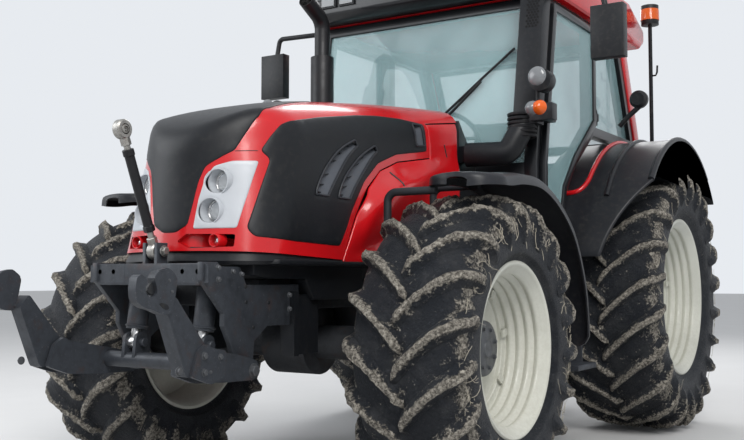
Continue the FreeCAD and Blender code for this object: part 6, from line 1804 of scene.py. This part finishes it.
class TRACTOR_OT_stage(bpy.types.Operator):
    """Makes the floor, the pale background, the lights and the camera"""
    bl_idname = "tractor.stage"
    bl_label = "Stage"

    def execute(self, context):
        scene = context.scene
        light = scene.tractor_light
        bm = bmesh.new()
        bmesh.ops.create_grid(bm, x_segments=1, y_segments=1, size=60)
        mesh = bpy.data.meshes.new("floor")
        bm.to_mesh(mesh)
        bm.free()
        floor = bpy.data.objects.new("floor", mesh)
        scene.collection.objects.link(floor)
        f = Finish("floor_pale")
        f.set(color=f.mix(f.noise(1.2, 3), (0.60, 0.60, 0.60), (0.66, 0.66, 0.66)), rough=0.9)
        mesh.materials.append(f.material)

        world = bpy.data.worlds.new("pale_sky")
        scene.world = world
        world.use_nodes = True
        nodes, link = world.node_tree.nodes, world.node_tree.links.new
        soft = nodes["Background"]
        soft.inputs["Color"].default_value = (0.93, 0.96, 1.0, 1)
        soft.inputs["Strength"].default_value = light.sky
        pale = nodes.new("ShaderNodeBackground")
        pale.inputs["Color"].default_value = (0.80, 0.83, 0.87, 1)
        pale.inputs["Strength"].default_value = 1.0
        path = nodes.new("ShaderNodeLightPath")
        seen = nodes.new("ShaderNodeMath")
        seen.operation = "MAXIMUM"
        link(path.outputs["Is Camera Ray"], seen.inputs[0])
        more = nodes.new("ShaderNodeMath")
        more.operation = "MAXIMUM"
        link(path.outputs["Is Glossy Ray"], more.inputs[0])
        link(path.outputs["Is Transmission Ray"], more.inputs[1])
        link(more.outputs[0], seen.inputs[1])
        mixer = nodes.new("ShaderNodeMixShader")
        link(seen.outputs[0], mixer.inputs[0])
        link(soft.outputs[0], mixer.inputs[1])
        link(pale.outputs[0], mixer.inputs[2])
        link(mixer.outputs[0], nodes["World Output"].inputs["Surface"])

        def lamp(name, place, target, size, power, color=(1, 1, 1)):
            data = bpy.data.lights.new(name, "AREA")
            data.shape = "DISK"
            data.size = size
            data.energy = power
            data.color = color
            thing = bpy.data.objects.new(name, data)
            thing.location = place
            way = Vector(target) - Vector(place)
            thing.rotation_euler = way.to_track_quat("-Z", "Y").to_euler()
            scene.collection.objects.link(thing)

        lamp("key_light", (5.5, -6.5, 7.5), (0.2, -0.6, 1.2), 5.0, light.key,
             (1.0, 0.985, 0.96))
        lamp("fill_light", (-6.5, -5.5, 4.5), (0, -0.5, 1.2), 6.0, light.fill,
             (0.95, 0.975, 1.0))
        lamp("back_light", (-2.5, 7.5, 7.0), (0, 0.8, 1.6), 5.0, light.fill * 1.1)

        data = bpy.data.cameras.new("photo_camera")
        data.lens = scene.tractor_camera.lens
        data.sensor_width = 36
        camera = bpy.data.objects.new("photo_camera", data)
        camera.location = scene.tractor_camera.place
        camera.rotation_euler = (math.radians(93.416), 0, math.radians(32.137))
        scene.collection.objects.link(camera)
        scene.camera = camera
        scene.view_settings.view_transform = "Standard"
        return {"FINISHED"}


class TRACTOR_OT_finishes(bpy.types.Operator):
    """Makes every finish that the pieces wear"""
    bl_idname = "tractor.finishes"
    bl_label = "Finishes"

    def execute(self, context):
        make_finishes(context.scene.tractor_colors)
        return {"FINISHED"}


# What a user may change, the panel and the run

class TractorSizes(bpy.types.PropertyGroup):
    lug_height: bpy.props.FloatProperty(
        name="Lug height", description="How far the front tyres' lugs stand up",
        default=0.046, min=0.02, max=0.07, unit="LENGTH")
    front_lugs: bpy.props.IntProperty(
        name="Front lugs", description="Lugs on each half of a front tyre", default=19, min=8)
    rear_lugs: bpy.props.IntProperty(
        name="Rear lugs", description="Lugs on each half of a rear tyre", default=22, min=8)


class TractorColors(bpy.types.PropertyGroup):
    hood_red: bpy.props.FloatVectorProperty(
        name="Hood red", description="Colour of the hood, covers and roof", subtype="COLOR",
        default=(0.55, 0.006, 0.010))
    rim_cream: bpy.props.FloatVectorProperty(
        name="Rim cream", description="Colour of the rims", subtype="COLOR",
        default=(0.60, 0.61, 0.55))


class TractorLight(bpy.types.PropertyGroup):
    key: bpy.props.FloatProperty(name="Key light", description="Power of the main light",
                                 default=760, unit="POWER")
    fill: bpy.props.FloatProperty(name="Fill light", description="Power of the side light",
                                  default=330, unit="POWER")
    sky: bpy.props.FloatProperty(name="Sky", description="Strength of the soft sky light",
                                 default=0.62, subtype="FACTOR")


class TractorCamera(bpy.types.PropertyGroup):
    lens: bpy.props.FloatProperty(name="Lens", description="Focal length in millimetres",
                                  default=46.99)
    place: bpy.props.FloatVectorProperty(
        name="Place", description="Where the camera stands", subtype="TRANSLATION",
        default=(2.905, -5.065, 1.004))


PIECES = (
    TRACTOR_OT_finishes, TRACTOR_OT_stage, TRACTOR_OT_wheels, TRACTOR_OT_hood,
    TRACTOR_OT_fenders, TRACTOR_OT_cab, TRACTOR_OT_chassis, TRACTOR_OT_linkages)
GROUPS = (("tractor_sizes", TractorSizes), ("tractor_colors", TractorColors),
          ("tractor_light", TractorLight), ("tractor_camera", TractorCamera))


class TRACTOR_PT_panel(bpy.types.Panel):
    bl_idname = "TRACTOR_PT_panel"
    bl_label = "Farm tractor"
    bl_space_type = "VIEW_3D"
    bl_region_type = "UI"
    bl_category = "Tractor"

    def draw(self, context):
        for name, group in GROUPS:
            for label in group.__annotations__:
                self.layout.prop(getattr(context.scene, name), label)
        for operator in PIECES:
            self.layout.operator(operator.bl_idname)


def register():
    for name, group in GROUPS:
        bpy.utils.register_class(group)
        setattr(bpy.types.Scene, name, bpy.props.PointerProperty(type=group))
    for operator in PIECES:
        bpy.utils.register_class(operator)
    bpy.utils.register_class(TRACTOR_PT_panel)


def unregister():
    bpy.utils.unregister_class(TRACTOR_PT_panel)
    for operator in reversed(PIECES):
        bpy.utils.unregister_class(operator)
    for name, group in reversed(GROUPS):
        delattr(bpy.types.Scene, name)
        bpy.utils.unregister_class(group)


def main():
    register()
    for operator in PIECES:
        group, name = operator.bl_idname.split(".")
        result = getattr(getattr(bpy.ops, group), name)()
        if result != {"FINISHED"}:
            raise RuntimeError(operator.bl_label + " didn't finish")


if __name__ == "__main__":
    main()
